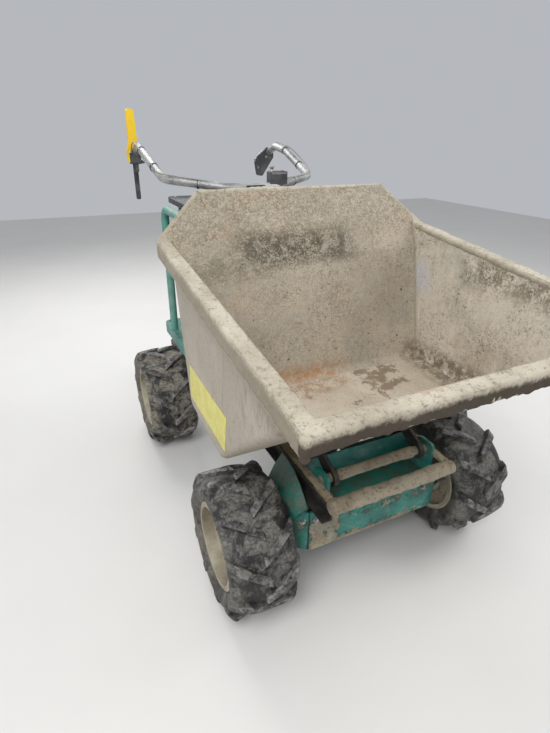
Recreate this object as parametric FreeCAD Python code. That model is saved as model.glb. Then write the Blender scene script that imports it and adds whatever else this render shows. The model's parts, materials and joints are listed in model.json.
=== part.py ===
import FreeCAD, Part
import math
import os
from FreeCAD import Vector

# Site dumper: a four-wheeled power buggy with a tipping tub in front, an engine deck behind it,
# rear-wheel steering by a handlebar and a fold-up platform for the operator.
# Millimetres. +X is the operator's left, +Y points back to the operator, +Z is up.
# Sizes below are taken from the front axle; everything is moved to mid-length when it is written.

# Fits
RUNNING_FIT = 0.05
SEAT_GAP = 0.3
STUD_FIT = 0.5

# How far a cutting shape passes the faces that it cuts, and its height over the tub
CUT = 10.0
TUB_CUT = 200.0

# Wheels
WHEEL_X = 488.0
TYRE_RADIUS = 264.0
TYRE_HALF_WIDTH = 125.0
TYRE_SECTION = 106.0
SIDEWALL_RISE = 50.0
CROWN_INSET = 40.0
LUG_HEIGHT = 24.0
LUG_WIDTH = 28.0
LUG_SWEEP = 96.0
LUG_LAP = 8.0
LUG_END_INSET = 4.0
LUG_SHOULDER_INSET = 22.0
LUG_SHOULDER_DROP = 42.0
LUG_ROOT_DEPTH = 30.0
LUG_TOE_DROP = 14.0
LUG_PROUD = 2.0
LUGS_PER_SIDE = 10
TYRE_FACETS = 28
RIM_HALF_WIDTH = 107.0
RIM_SHEET = 6.0
RIM_FLANGE_HEIGHT = 11.0
RIM_WELL_DEPTH = 19.0
RIM_WELL_HALF = 46.0
RIM_WELL_SLOPE = 16.0
RIM_BEND_SHIFT = 2.0
DISC_INSET = 85.0
HUB_BOSS_RADIUS = 38.0
HUB_BOSS_LENGTH = 24.0
HUB_FLANGE_THICK = 12.0
HUB_PILOT_LENGTH = 20.0
NUT_RADIUS = 10.0
NUT_HEIGHT = 10.0
STUD_RADIUS = 6.0
STUDS = 5

# Chassis
RAIL_RISE = 156.0
RAIL_HEIGHT = 100.0
RAIL_FLANGE = 40.0
RAIL_SHEET = 6.0
RAIL_STEP = 50.0
RAIL_LAP = 140.0
SPACER_INSET = 20.0
RAIL_INSET = 105.0
RAIL_FRONT_OVERHANG = 205.0
RAIL_REAR_OVERHANG = 262.0
MEMBER_WIDTH = 50.0
END_PLATE = 12.0
CROSS_BAR_RISE = 85.0
CROSS_BAR_RADIUS = 24.0
CROSS_BAR_HALF = 262.0
BUMPER_LEAD = 150.0
BUMPER_SHEET = 8.0
BUMPER_HEIGHT = 175.0
BUMPER_BEND = 90.0
BUMPER_LEG_LENGTH = 240.0
BUMPER_CLEARANCE = 23.0
LEG_PLATE_MARGIN = 10.0
LEG_PLATE_LAP = 20.0
AXLE_POST_HALF = 40.0
AXLE_BEAM = 100.0
REAR_BEAM_WIDTH = 56.0
REAR_BEAM_HEIGHT = 60.0
MOTOR_FLANGE_RADIUS = 68.0
MOTOR_FLANGE_THICK = 10.0
MOTOR_NOSE_RADIUS = 50.0
MOTOR_HUB_GAP = 7.0
WHEEL_SHAFT_RADIUS = 18.0
SHAFT_HOLE_STEP = 4.0
SHAFT_END_GAP = 5.0

# Tub, as its outer side profile
TUB_HALF_WIDTH = 556.0
TUB_WALL = 8.0
FLOOR_RISE = 115.0
FLOOR_FRONT_Y = -2.0
FLOOR_BACK_Y = 338.0
FLOOR_SLOPE_RISE = 27.0
LIP_Y = -604.0
LIP_RISE = 486.0
LIP_OVERHANG = 30.0
LIP_DEPTH = 42.0
RIM_OVERHANG = 36.0
RIM_DEPTH = 57.0
RIM_BACK_Y = 499.0
RIM_BACK_RISE = 624.0
CREASE_Y = 450.0
CREASE_RISE = 525.0
BACK_TOP_Y = 575.0
BACK_TOP_RISE = 778.0
BACK_TOP_HALF_WIDTH = 413.0
FLOOR_FRONT_RADIUS = 40.0
FLOOR_BACK_RADIUS = 48.0
CREASE_RADIUS = 60.0
TUB_EDGE_RADIUS = 26.0

# Tub pivot, cradle and lift cylinder
PIVOT_Y = -120.0
PIVOT_RISE = 10.0
PIVOT_RADIUS = 17.0
PIVOT_BOSS_RADIUS = 32.0
PIVOT_BOSS_LENGTH = 18.0
CRADLE_INSET = 43.0
CRADLE_PLATE = 12.0
CRADLE_SHEET = 6.0
CRADLE_CORNER = 8.0
CRADLE_FRONT_INSET = 30.0
CRADLE_BACK_INSET = 20.0
CRADLE_NECK = 90.0
STIFFENER_INSET = 50.0
PIVOT_EAR_FRONT = 40.0
PIVOT_EAR_REACH = 112.0
PIVOT_EAR_RISE = 34.0
PIVOT_EAR_BEHIND = 26.0
PIVOT_EAR_STEP = 14.0
PIVOT_EAR_FOOT = 10.0
REST_HEIGHT = 36.0
REST_WIDTH = 50.0
REST_MARGIN = 2.0
MEMBER_LEAD = 10.0
CYLINDER_EYE_REACH = 200.0
CYLINDER_EYE_RISE = 70.0
CYLINDER_BASE_REACH = 370.0
CYLINDER_BASE_DROP = 260.0
BARREL_RADIUS = 32.0
GLAND_STEP = 4.0
GLAND_LENGTH = 30.0
ROD_RADIUS = 18.0
ROD_SHOWN = 17.0
ROD_END_GAP = 10.0
BARREL_END = 22.0
BARREL_EYE_RADIUS = 28.0
BARREL_EYE_HALF = 34.0
ROD_EYE_RADIUS = 24.0
ROD_EYE_HALF = 21.0
CLEVIS_GAP = 6.0
CLEVIS_PLATE = 10.0
CYLINDER_PIN_RADIUS = 12.0
PIN_HEAD = 8.0
PIN_HEAD_STEP = 4.0
CLEVIS_CORNER = 14.0
CLEVIS_ROOT_HALF = 34.0
BRACKET_MARGIN = 2.0
BRACKET_CORNER = 20.0

# Steering
KINGPIN_OFFSET = 158.0
KINGPIN_RADIUS = 14.0
KNUCKLE_RADIUS = 24.0
KNUCKLE_HALF_HEIGHT = 48.0
KNUCKLE_GAP = 1.0
YOKE_PLATE = 12.0
YOKE_CLEARANCE = 12.0
KINGPIN_HEAD = 4.0
SPINDLE_END = 10.0
STEER_ARM = 120.0
STEER_ARM_RISE = 30.0
STEER_ARM_WIDTH = 30.0
STEER_ARM_THICK = 12.0
TIE_ROD_RADIUS = 11.0
TIE_ROD_END_RADIUS = 14.0
TIE_ROD_END_HEIGHT = 28.0
TIE_LINK_HALF = 5.0
TIE_EYE_RADIUS = 16.0
COLUMN_LEAD = 168.0
COLUMN_RADIUS = 20.0
COLLAR_STEP = 8.0
COLLAR_HEIGHT = 20.0
COLLAR_GAP = 1.0
POST_RADIUS = 32.0
POST_FOOT_HEIGHT = 40.0
POST_FOOT_HALF = 45.0
POST_DROP = 86.0

# Handlebar: each bend's half width, run behind the last one and rise over the bar's middle
BAR_RADIUS = 20.0
BAR_BEND = 60.0
BAR_CLEARANCE = 34.0
BAR_MIDDLE_HALF = 115.0
KNEE_HALF = 392.0
KNEE_RUN = 170.0
KNEE_RISE = 32.0
CREST_HALF = 415.0
CREST_RUN = 330.0
CREST_RISE = 142.0
GRIP_HALF = 410.0
GRIP_RUN = 125.0
GRIP_RISE = 162.0
TIP_HALF = 407.0
TIP_RUN = 97.0
TIP_RISE = 125.0
CLAMP_HALF = 45.0
CLAMP_DEPTH = 64.0
CLAMP_DROP = 25.0
CLAMP_RISE = 12.0
CONTROL_WIDTH = 55.0
CONTROL_LENGTH = 55.0
CONTROL_HEIGHT = 56.0
CONTROL_OUT = 33.0
CONTROL_LEAD = 32.0
CONTROL_CORNER = 8.0
LEVER_WIDTH = 50.0
LEVER_TIP_WIDTH = 40.0
LEVER_HEIGHT = 206.0
LEVER_THICK = 26.0
LEVER_OUT = 38.0
LEVER_GAP = 10.0
LEVER_FOOT_WIDTH = 12.0
LEVER_FOOT_DROP = 44.0
LEVER_CORNER = 8.0
STOP_LEVER_WIDTH = 25.0
STOP_LEVER_LENGTH = 190.0
STOP_LEVER_THICK = 12.0
STOP_LEVER_INSET = 15.0
STOP_LEVER_SETBACK = 8.0
HAND_GUARD_SHEET = 6.0
HAND_GUARD_WIDTH = 103.0
HAND_GUARD_DROP = 135.0
HAND_GUARD_COLLAR = 28.0
HAND_GUARD_CORNER = 12.0
HAND_GUARD_LEAD = 16.0
CONSOLE_WIDTH = 90.0
CONSOLE_DEPTH = 45.0
CONSOLE_HEIGHT = 60.0
CONSOLE_GAP = 35.0
CONSOLE_LEAD = 15.0
CONSOLE_CORNER = 6.0
CONSOLE_LAP = 10.0

# Engine deck, guard and hood
DECK_RISE = 180.0
DECK_HALF = 450.0
DECK_GAP = 112.0
DECK_OVERHANG = 12.0
DECK_SHEET = 6.0
DECK_SKIRT = 50.0
DECK_FRONT_RADIUS = 20.0
DECK_REAR_RADIUS = 40.0
LEG_LENGTH = 60.0
GUARD_RADIUS = 18.0
GUARD_HEIGHT = 590.0
GUARD_GAP = 65.0
GUARD_LAG = 30.0
GUARD_BEND = 55.0
CROSS_TUBE_RADIUS = 14.0
CROSS_TUBE_SETBACK = 80.0
POST_WIDTH = 30.0
POST_X = 295.0
POST_DEPTH = 20.0
ENGINE_BAY = 360.0
HOOD_RISE = 46.0
HOOD_HALF = 405.0
HOOD_GAP = 45.0
HOOD_LAP = 55.0
HOOD_SHEET = 6.0
HOOD_SKIRT = 22.0
HOOD_FRONT_RADIUS = 30.0
HOOD_REAR_RADIUS = 40.0
PANEL_HALF = 360.0
PANEL_SHEET = 5.0
PANEL_SETBACK = 34.0
PANEL_FLANGE = 30.0
PANEL_BEND = 12.0
PANEL_VENTS = 6
VENT_HALF = 150.0
VENT_HEIGHT = 12.0
VENT_PITCH = 30.0
VENT_RISE = 90.0
HOOD_HOLE_STEP = 14.0
LEG_SETBACK = 30.0

# Engine and what it drives
ENGINE_LEAD = 250.0
CASE_HALF = 110.0
CASE_HALF_LENGTH = 110.0
CASE_HEIGHT = 220.0
CASE_RADIUS = 36.0
FOOT_HEIGHT = 20.0
FOOT_WIDTH = 34.0
BLOCK_LEAN = 25.0
BLOCK_RISE = 150.0
BLOCK_RADIUS = 58.0
BLOCK_HEIGHT = 150.0
FIN_START = 60.0
FIN_RADIUS = 82.0
FIN_THICK = 4.0
FIN_PITCH = 16.0
FINS = 6
HEAD_HALF = 72.0
HEAD_HEIGHT = 40.0
HEAD_CORNER = 10.0
SHROUD_RISE = 120.0
SHROUD_RADIUS = 98.0
SHROUD_DEPTH = 70.0
SHROUD_EDGE = 16.0
STARTER_RADIUS = 56.0
STARTER_DEPTH = 22.0
STARTER_SLOTS = 8
STARTER_SLOT_WIDTH = 9.0
STARTER_SLOT_DEPTH = 6.0
STARTER_SLOT_START = 18.0
STARTER_SLOT_END = 46.0
MUFFLER_LENGTH = 140.0
MUFFLER_HEIGHT = 110.0
MUFFLER_WIDTH = 110.0
MUFFLER_RADIUS = 24.0
MUFFLER_LOUVRES = 5
MUFFLER_PIPE_RADIUS = 14.0
MUFFLER_PIPE_LENGTH = 18.0
MUFFLER_PIPE_INSET = 62.0
MUFFLER_PIPE_RISE = 45.0
MUFFLER_LEAD = 142.0
MUFFLER_RISE = 265.0
LOUVRE_INSET = 25.0
LOUVRE_HEIGHT = 8.0
LOUVRE_DEPTH = 8.0
AIR_CLEANER_LENGTH = 120.0
AIR_CLEANER_HEIGHT = 100.0
AIR_CLEANER_WIDTH = 70.0
AIR_CLEANER_RADIUS = 30.0
AIR_CLEANER_LEAD = 145.0
AIR_CLEANER_RISE = 302.0
FUEL_TANK_HALF = 150.0
FUEL_TANK_LENGTH = 150.0
FUEL_TANK_HEIGHT = 120.0
FUEL_TANK_RADIUS = 34.0
FUEL_TANK_SETBACK = 50.0
CAP_RADIUS = 30.0
CAP_HEIGHT = 22.0
PUMP_RADIUS = 46.0
PUMP_LENGTH = 90.0
PUMP_FLANGE_RADIUS = 62.0
PUMP_FLANGE_THICK = 20.0
PUMP_RISE = 110.0
OIL_TANK_OUT = 400.0
OIL_TANK_LEAD = 50.0
OIL_TANK_WIDTH = 120.0
OIL_TANK_LENGTH = 300.0
OIL_TANK_HEIGHT = 210.0
OIL_TANK_RADIUS = 24.0

# Platform
PLATFORM_DROP = 120.0
PLATFORM_GAP = 40.0
PLATFORM_HALF = 285.0
PLATFORM_LENGTH = 380.0
PLATFORM_SHEET = 5.0
PLATFORM_LIP = 32.0
PLATFORM_RADIUS = 30.0
HINGE_RADIUS = 8.0
HINGE_NOSE_RADIUS = 14.0
HINGE_SETBACK = 20.0
HINGE_DROP = 12.0
HINGE_KNUCKLE_RADIUS = 14.0
HINGE_KNUCKLE_WIDTH = 60.0
HINGE_KNUCKLE_INSET = 35.0
HINGE_STRAP_HALF = 8.0
HINGE_STRAP_LAP = 3.0
HINGE_PLATE = 10.0
HINGE_PLATE_LENGTH = 60.0
HINGE_THROAT = 42.0
TIE_DOWN_LEAD = 60.0
TIE_DOWN_HALF = 30.0
TIE_DOWN_HEIGHT = 50.0
TIE_DOWN_RADIUS = 24.0
TIE_DOWN_BORE = 12.5
TIE_DOWN_RISE = 26.0
TIE_DOWN_PLATE = 10.0

# Heights that follow from each other
AXLE_Z = TYRE_RADIUS
RAIL_BOTTOM_Z = AXLE_Z + RAIL_RISE
RAIL_TOP_Z = RAIL_BOTTOM_Z + RAIL_HEIGHT
BUMPER_BOTTOM_Z = RAIL_BOTTOM_Z - BUMPER_HEIGHT
PIVOT_Z = RAIL_TOP_Z + PIVOT_RISE
CRADLE_BOTTOM_Z = RAIL_TOP_Z + REST_HEIGHT
FLOOR_FRONT_Z = RAIL_TOP_Z + FLOOR_RISE
FLOOR_BACK_Z = FLOOR_FRONT_Z + FLOOR_SLOPE_RISE
LIP_Z = FLOOR_FRONT_Z + LIP_RISE
RIM_BACK_Z = FLOOR_FRONT_Z + RIM_BACK_RISE
CREASE_Z = FLOOR_FRONT_Z + CREASE_RISE
BACK_TOP_Z = FLOOR_FRONT_Z + BACK_TOP_RISE
DECK_TOP_Z = RAIL_TOP_Z + DECK_RISE
GUARD_TOP_Z = DECK_TOP_Z + GUARD_HEIGHT
HOOD_TOP_Z = GUARD_TOP_Z + HOOD_RISE
BAR_MIDDLE_Z = HOOD_TOP_Z + BAR_CLEARANCE
CLAMP_BOTTOM_Z = BAR_MIDDLE_Z - CLAMP_DROP
POST_BOTTOM_Z = RAIL_TOP_Z + POST_FOOT_HEIGHT
POST_TOP_Z = HOOD_TOP_Z - POST_DROP
STEER_ARM_Z = AXLE_Z + STEER_ARM_RISE
TIE_ROD_BOTTOM_Z = STEER_ARM_Z + STEER_ARM_THICK + SEAT_GAP
TIE_ROD_Z = TIE_ROD_BOTTOM_Z + TIE_ROD_END_HEIGHT / 2
COLUMN_ARM_Z = TIE_ROD_Z + TIE_LINK_HALF + SEAT_GAP
PLATFORM_Z = RAIL_BOTTOM_Z - PLATFORM_DROP
HINGE_Z = PLATFORM_Z - HINGE_DROP

# Places along the machine
GUARD_FRONT_Y = BACK_TOP_Y + GUARD_GAP
HOOD_FRONT_Y = BACK_TOP_Y + HOOD_GAP
DECK_FRONT_Y = FLOOR_BACK_Y + DECK_GAP
COLUMN_Y = GUARD_FRONT_Y + ENGINE_BAY
WHEELBASE = COLUMN_Y + COLUMN_LEAD
DECK_REAR_Y = WHEELBASE + DECK_OVERHANG
GUARD_REAR_Y = COLUMN_Y + GUARD_LAG
HOOD_REAR_Y = GUARD_REAR_Y + HOOD_LAP
KNEE_Y = COLUMN_Y + KNEE_RUN
CREST_Y = KNEE_Y + CREST_RUN
GRIP_Y = CREST_Y + GRIP_RUN
TIP_Y = GRIP_Y + TIP_RUN
PANEL_Y = GUARD_REAR_Y + PANEL_SETBACK
ENGINE_Y = COLUMN_Y - ENGINE_LEAD
RAIL_START_Y = -RAIL_FRONT_OVERHANG
RAIL_JOINT_Y = (DECK_FRONT_Y + ENGINE_Y) / 2 + MEMBER_WIDTH / 2
REAR_RAIL_START_Y = RAIL_JOINT_Y - RAIL_LAP / 2
FRONT_RAIL_END_Y = RAIL_JOINT_Y + RAIL_LAP / 2
REAR_RAIL_END_Y = WHEELBASE + RAIL_REAR_OVERHANG
CYLINDER_BASE_Y = PIVOT_Y + CYLINDER_BASE_REACH
PLATFORM_FRONT_Y = REAR_RAIL_END_Y + PLATFORM_GAP
PLATFORM_REAR_Y = PLATFORM_FRONT_Y + PLATFORM_LENGTH
HINGE_Y = PLATFORM_FRONT_Y - HINGE_SETBACK
FRONT_AXLE_Y = -(LIP_Y + PLATFORM_REAR_Y) / 2

# Places across it
DISC_X = WHEEL_X - DISC_INSET
KINGPIN_X = WHEEL_X - KINGPIN_OFFSET
BUMPER_HALF = WHEEL_X - TYRE_HALF_WIDTH - BUMPER_CLEARANCE
FRONT_RAIL_X = BUMPER_HALF - RAIL_INSET
REAR_RAIL_X = FRONT_RAIL_X - RAIL_STEP
CRADLE_X = FRONT_RAIL_X - CRADLE_INSET

RIM_SLOPE = (RIM_BACK_Z - LIP_Z) / (RIM_BACK_Y - LIP_Y)
RIM_FLANGE_RADIUS = TYRE_RADIUS - TYRE_SECTION
RIM_SEAT_RADIUS = RIM_FLANGE_RADIUS - RIM_FLANGE_HEIGHT
RIM_WELL_RADIUS = RIM_SEAT_RADIUS - RIM_WELL_DEPTH
STUD_CIRCLE = HUB_BOSS_RADIUS + NUT_RADIUS
HUB_FLANGE_RADIUS = STUD_CIRCLE + NUT_RADIUS + RIM_SHEET
PILOT_HOLE_RADIUS = HUB_BOSS_RADIUS - RIM_SHEET
GUARD_X = DECK_HALF - GUARD_RADIUS
CONTROL_TOP_Z = BAR_MIDDLE_Z + TIP_RISE

ACROSS = Vector(1, 0, 0)
UP = Vector(0, 0, 1)
# Operator's right has negative X, operator's left positive X.
SIDES = (("right", -1), ("left", 1))


def box(x0, x1, y0, y1, z0, z1):
    corner = Vector(min(x0, x1), min(y0, y1), min(z0, z1))
    return Part.makeBox(abs(x1 - x0), abs(y1 - y0), abs(z1 - z0), corner)


def rod(start, end, radius):
    along = end - start
    return Part.makeCylinder(radius, along.Length, start, along)


def across(x0, x1, y, z, radius):
    """Round bar along X."""
    return rod(Vector(x0, y, z), Vector(x1, y, z), radius)


def upright(x, y, z0, z1, radius):
    return rod(Vector(x, y, z0), Vector(x, y, z1), radius)


def fuse(pieces):
    whole = pieces[0].multiFuse(pieces[1:]) if len(pieces) > 1 else pieces[0]
    return whole.removeSplitter()


def mirrored(shape):
    return shape.mirror(Vector(0, 0, 0), ACROSS)


def on_side(shape, side):
    return shape if side > 0 else mirrored(shape)


def in_yz(x):
    return lambda a, b: Vector(x, a, b)


def in_xz(y):
    return lambda a, b: Vector(a, y, b)


def in_xy(z):
    return lambda a, b: Vector(a, b, z)


def corner_arc(before, corner, after, radius):
    """Start, middle and end of the arc that rounds a corner between two straight runs."""
    back = (before - corner).normalize()
    onward = (after - corner).normalize()
    half = back.getAngle(onward) / 2
    run = radius / math.tan(half)
    middle_way = (back + onward).normalize()
    middle = corner + middle_way * (radius / math.sin(half) - radius)
    return corner + back * run, middle, corner + onward * run


def outline(corners, place):
    """Closed wire through rows of a, b and corner radius."""
    points = [place(a, b) for a, b, radius in corners]
    stops = []
    for i, (a, b, radius) in enumerate(corners):
        if radius > 0:
            stops.append(corner_arc(points[i - 1], points[i], points[(i + 1) % len(points)], radius))
        else:
            stops.append((points[i], None, points[i]))
    edges = []
    for i, (start, middle, end) in enumerate(stops):
        last = stops[i - 1][2]
        if (start - last).Length > 1e-6:
            edges.append(Part.LineSegment(last, start).toShape())
        if middle is not None:
            edges.append(Part.Arc(start, middle, end).toShape())
    return Part.Wire(edges)


def prism(corners, place, along):
    return Part.Face(outline(corners, place)).extrude(along)


def eased(block, radius, along):
    """Block with its straight edges in one direction rounded."""
    edges = []
    for edge in block.Edges:
        way = edge.Vertexes[-1].Point - edge.Vertexes[0].Point
        if way.Length > radius and way.cross(along).Length < 1e-6 * way.Length:
            edges.append(edge)
    return block.makeFillet(radius, edges)


def bent_tube(points, bend, radius):
    """Round bar along straight runs joined by arcs of one bend radius."""
    edges = []
    last = points[0]
    for before, corner, after in zip(points, points[1:], points[2:]):
        start, middle, end = corner_arc(before, corner, after, bend)
        edges.append(Part.LineSegment(last, start).toShape())
        edges.append(Part.Arc(start, middle, end).toShape())
        last = end
    edges.append(Part.LineSegment(last, points[-1]).toShape())
    section = Part.Wire(Part.makeCircle(radius, points[0], points[1] - points[0]))
    return Part.Wire(edges).makePipeShell([section], True, False)


def tray(half, front, back, front_radius, back_radius, top, depth, sheet):
    """Flat sheet with its edges turned down, open below."""
    plan = [(-half, front, front_radius), (half, front, front_radius), (half, back, back_radius),
            (-half, back, back_radius)]
    inner = [(a - math.copysign(sheet, a), b + (sheet if b == front else -sheet), max(radius - sheet, 0))
             for a, b, radius in plan]
    block = prism(plan, in_xy(top - depth), UP * depth)
    return block.cut(prism(inner, in_xy(top - depth), UP * (depth - sheet)))


def offset_path(points, distance):
    """Open path of (a, b) points moved sideways, to the left of its direction."""
    lines = []
    for (a0, b0), (a1, b1) in zip(points, points[1:]):
        length = math.hypot(a1 - a0, b1 - b0)
        da, db = (a1 - a0) / length, (b1 - b0) / length
        lines.append((a0 - db * distance, b0 + da * distance, da, db))
    first, last = lines[0], lines[-1]
    end_length = math.hypot(points[-1][0] - points[-2][0], points[-1][1] - points[-2][1])
    moved = [(first[0], first[1])]
    for (a0, b0, da, db), (a1, b1, ea, eb) in zip(lines, lines[1:]):
        run = ((a1 - a0) * eb - (b1 - b0) * ea) / (da * eb - db * ea)
        moved.append((a0 + da * run, b0 + db * run))
    moved.append((last[0] + last[2] * end_length, last[1] + last[3] * end_length))
    return moved


def rim_line(y):
    return LIP_Z + (y - LIP_Y) * RIM_SLOPE


def floor_line(y):
    return FLOOR_FRONT_Z + (y - FLOOR_FRONT_Y) * FLOOR_SLOPE_RISE / (FLOOR_BACK_Y - FLOOR_FRONT_Y)


# Tub
def tub_block(path, top, half_width, edge_radius, corner_shift):
    radii = (0, FLOOR_FRONT_RADIUS - corner_shift, FLOOR_BACK_RADIUS - corner_shift, CREASE_RADIUS, 0)
    corners = [(y, z, radius) for (y, z), radius in zip(path, radii)] + top
    block = prism(corners, in_yz(-half_width), ACROSS * (2 * half_width))
    rounded = []
    for edge in block.Edges:
        middle = edge.CenterOfMass
        on_side_face = abs(abs(middle.x) - half_width) < 1e-3
        on_path = middle.z < rim_line(middle.y) or middle.y > CREASE_Y
        if on_side_face and on_path and middle.z < BACK_TOP_Z:
            rounded.append(edge)
    return block.makeFillet(edge_radius, rounded)


def tub_walls():
    """Front slope, floor, back wall and back panel as one shell, its side walls cut at the rim line."""
    front_top = (LIP_Y + LIP_OVERHANG, rim_line(LIP_Y + LIP_OVERHANG))
    path = [front_top, (FLOOR_FRONT_Y, FLOOR_FRONT_Z), (FLOOR_BACK_Y, FLOOR_BACK_Z),
            (CREASE_Y, CREASE_Z), (BACK_TOP_Y, BACK_TOP_Z)]
    inner_path = offset_path(path, TUB_WALL)
    above = BACK_TOP_Z + TUB_CUT
    top = [(inner_path[-1][0], above, 0), (inner_path[0][0], above, 0)]
    shell = tub_block(path, [], TUB_HALF_WIDTH, TUB_EDGE_RADIUS, 0)
    inner_edge = TUB_EDGE_RADIUS - TUB_WALL
    shell = shell.cut(tub_block(inner_path, top, TUB_HALF_WIDTH - TUB_WALL, inner_edge, TUB_WALL))
    panel_top = inner_path[-1]
    panel_low = inner_path[-2]
    lean = (panel_top[0] - panel_low[0]) / (panel_top[1] - panel_low[1])
    meet_y = (panel_low[0] + (LIP_Z - LIP_Y * RIM_SLOPE - panel_low[1]) * lean) / (1 - RIM_SLOPE * lean)
    front = LIP_Y - CUT
    over = [(front, rim_line(front), 0), (meet_y, rim_line(meet_y), 0),
            (meet_y + (above - rim_line(meet_y)) * lean, above, 0), (front, above, 0)]
    wide = TUB_HALF_WIDTH + CUT
    return shell.cut(prism(over, in_yz(-wide), ACROSS * (2 * wide)))


def tub_side_flange():
    """Rim turned outwards along one side wall, with a lip turned down."""
    side = [(LIP_Y, rim_line(LIP_Y), 0), (RIM_BACK_Y, RIM_BACK_Z, 0),
            (RIM_BACK_Y, RIM_BACK_Z - RIM_DEPTH, 0), (LIP_Y, rim_line(LIP_Y) - RIM_DEPTH, 0)]
    front, back = LIP_Y - CUT, RIM_BACK_Y + CUT
    under = [(front, rim_line(front) - TUB_WALL, 0), (back, rim_line(back) - TUB_WALL, 0),
             (back, rim_line(back) - 2 * RIM_DEPTH, 0), (front, rim_line(front) - 2 * RIM_DEPTH, 0)]
    flange = prism(side, in_yz(TUB_HALF_WIDTH), ACROSS * RIM_OVERHANG)
    return flange.cut(prism(under, in_yz(TUB_HALF_WIDTH), ACROSS * (RIM_OVERHANG - TUB_WALL)))


def tub_front_lip():
    fall = (rim_line(LIP_Y + LIP_OVERHANG) - FLOOR_FRONT_Z) / (FLOOR_FRONT_Y - LIP_Y - LIP_OVERHANG)
    root_y = LIP_Y + LIP_OVERHANG + 0.9 * TUB_WALL
    low_root_y = root_y + TUB_WALL / fall
    bend_y = LIP_Y + TUB_WALL
    lip = [(LIP_Y, rim_line(LIP_Y), 0), (root_y, rim_line(root_y), 0),
           (low_root_y, rim_line(low_root_y) - TUB_WALL, 0), (bend_y, rim_line(bend_y) - TUB_WALL, 0),
           (bend_y, rim_line(LIP_Y) - LIP_DEPTH, 0), (LIP_Y, rim_line(LIP_Y) - LIP_DEPTH, 0)]
    edge_x = TUB_HALF_WIDTH + RIM_OVERHANG
    return prism(lip, in_yz(-edge_x), ACROSS * (2 * edge_x))


def tub_shell():
    flange = tub_side_flange()
    shell = fuse([tub_walls(), flange, mirrored(flange), tub_front_lip()])
    # Back corners cut straight from the top edge down to the rim.
    edge_x = TUB_HALF_WIDTH + RIM_OVERHANG
    above = BACK_TOP_Z + TUB_CUT
    wide = edge_x + CUT
    slope = (BACK_TOP_Z - RIM_BACK_Z) / (edge_x - BACK_TOP_HALF_WIDTH)
    low = BACK_TOP_Z - (wide - BACK_TOP_HALF_WIDTH) * slope
    corner = [(BACK_TOP_HALF_WIDTH, BACK_TOP_Z, 0), (wide, low, 0), (wide, above, 0),
              (BACK_TOP_HALF_WIDTH - TUB_CUT / slope, above, 0)]
    start = CREASE_Y - CREASE_RADIUS
    cut = prism(corner, in_xz(start), Vector(0, BACK_TOP_Y + CUT - start, 0))
    return shell.cut(cut).cut(mirrored(cut))


def tub_cradle():
    inner = CRADLE_X - CRADLE_PLATE / 2
    outer = inner + CRADLE_PLATE
    front = FLOOR_FRONT_Y + CRADLE_FRONT_INSET
    back = FLOOR_BACK_Y - CRADLE_BACK_INSET
    upper, lower = math.radians(30), math.radians(55)
    side = [(PIVOT_Y - PIVOT_BOSS_RADIUS * math.sin(upper), PIVOT_Z + PIVOT_BOSS_RADIUS * math.cos(upper), 0),
            (front, floor_line(front), 0), (back, floor_line(back), 0), (back, CRADLE_BOTTOM_Z, CRADLE_CORNER),
            (PIVOT_Y + CRADLE_NECK, CRADLE_BOTTOM_Z, 0),
            (PIVOT_Y + PIVOT_BOSS_RADIUS * math.cos(lower), PIVOT_Z - PIVOT_BOSS_RADIUS * math.sin(lower), 0)]
    plate = prism(side, in_yz(inner), ACROSS * CRADLE_PLATE)
    boss = across(outer - PIVOT_BOSS_LENGTH, outer, PIVOT_Y, PIVOT_Z, PIVOT_BOSS_RADIUS)
    ear = plate.fuse(boss)
    bore = across(outer - PIVOT_BOSS_LENGTH - CUT, outer + CUT, PIVOT_Y, PIVOT_Z, PIVOT_RADIUS + RUNNING_FIT)
    ear = ear.cut(bore)
    # Sheet under the floor, with a rear stiffener and the clevis of the lift cylinder.
    low = front + CRADLE_SHEET
    sheet = [(low, floor_line(low), 0), (back, floor_line(back), 0),
             (back, floor_line(back) - CRADLE_SHEET, 0), (low, floor_line(low) - CRADLE_SHEET, 0)]
    pan = prism(sheet, in_yz(-inner), ACROSS * (2 * inner))
    rib_y = back - STIFFENER_INSET
    rib = box(-inner, inner, rib_y, rib_y + CRADLE_SHEET, CRADLE_BOTTOM_Z + CRADLE_PLATE,
              floor_line(rib_y) - CRADLE_SHEET / 2)
    gap = ROD_EYE_HALF + CLEVIS_GAP
    eye_y, eye_z = CYLINDER_EYE.y, CYLINDER_EYE.z
    corners = []
    for y in (eye_y - CLEVIS_ROOT_HALF, eye_y + CLEVIS_ROOT_HALF):
        corners.append((y, floor_line(y) - CRADLE_SHEET / 2, 0))
    for y in (eye_y + ROD_EYE_RADIUS, eye_y - ROD_EYE_RADIUS):
        corners.append((y, eye_z - ROD_EYE_RADIUS, CLEVIS_CORNER))
    clevis = prism(corners, in_yz(gap), ACROSS * CLEVIS_PLATE)
    face = gap + CLEVIS_PLATE
    head = across(face, face + PIN_HEAD, eye_y, eye_z, CYLINDER_PIN_RADIUS + PIN_HEAD_STEP)
    clevis = clevis.fuse(head)
    return fuse([ear, mirrored(ear), pan, rib, clevis, mirrored(clevis)])


# Lift cylinder, from its foot between the rails up to its eye under the tub
CYLINDER_BASE = Vector(0, CYLINDER_BASE_Y, PIVOT_Z - CYLINDER_BASE_DROP)
CYLINDER_EYE = Vector(0, PIVOT_Y + CYLINDER_EYE_REACH, PIVOT_Z + CYLINDER_EYE_RISE)
CYLINDER_WAY = (CYLINDER_EYE - CYLINDER_BASE).normalize()
CYLINDER_LENGTH = (CYLINDER_EYE - CYLINDER_BASE).Length
BARREL_LENGTH = CYLINDER_LENGTH - ROD_EYE_RADIUS - ROD_SHOWN


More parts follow.
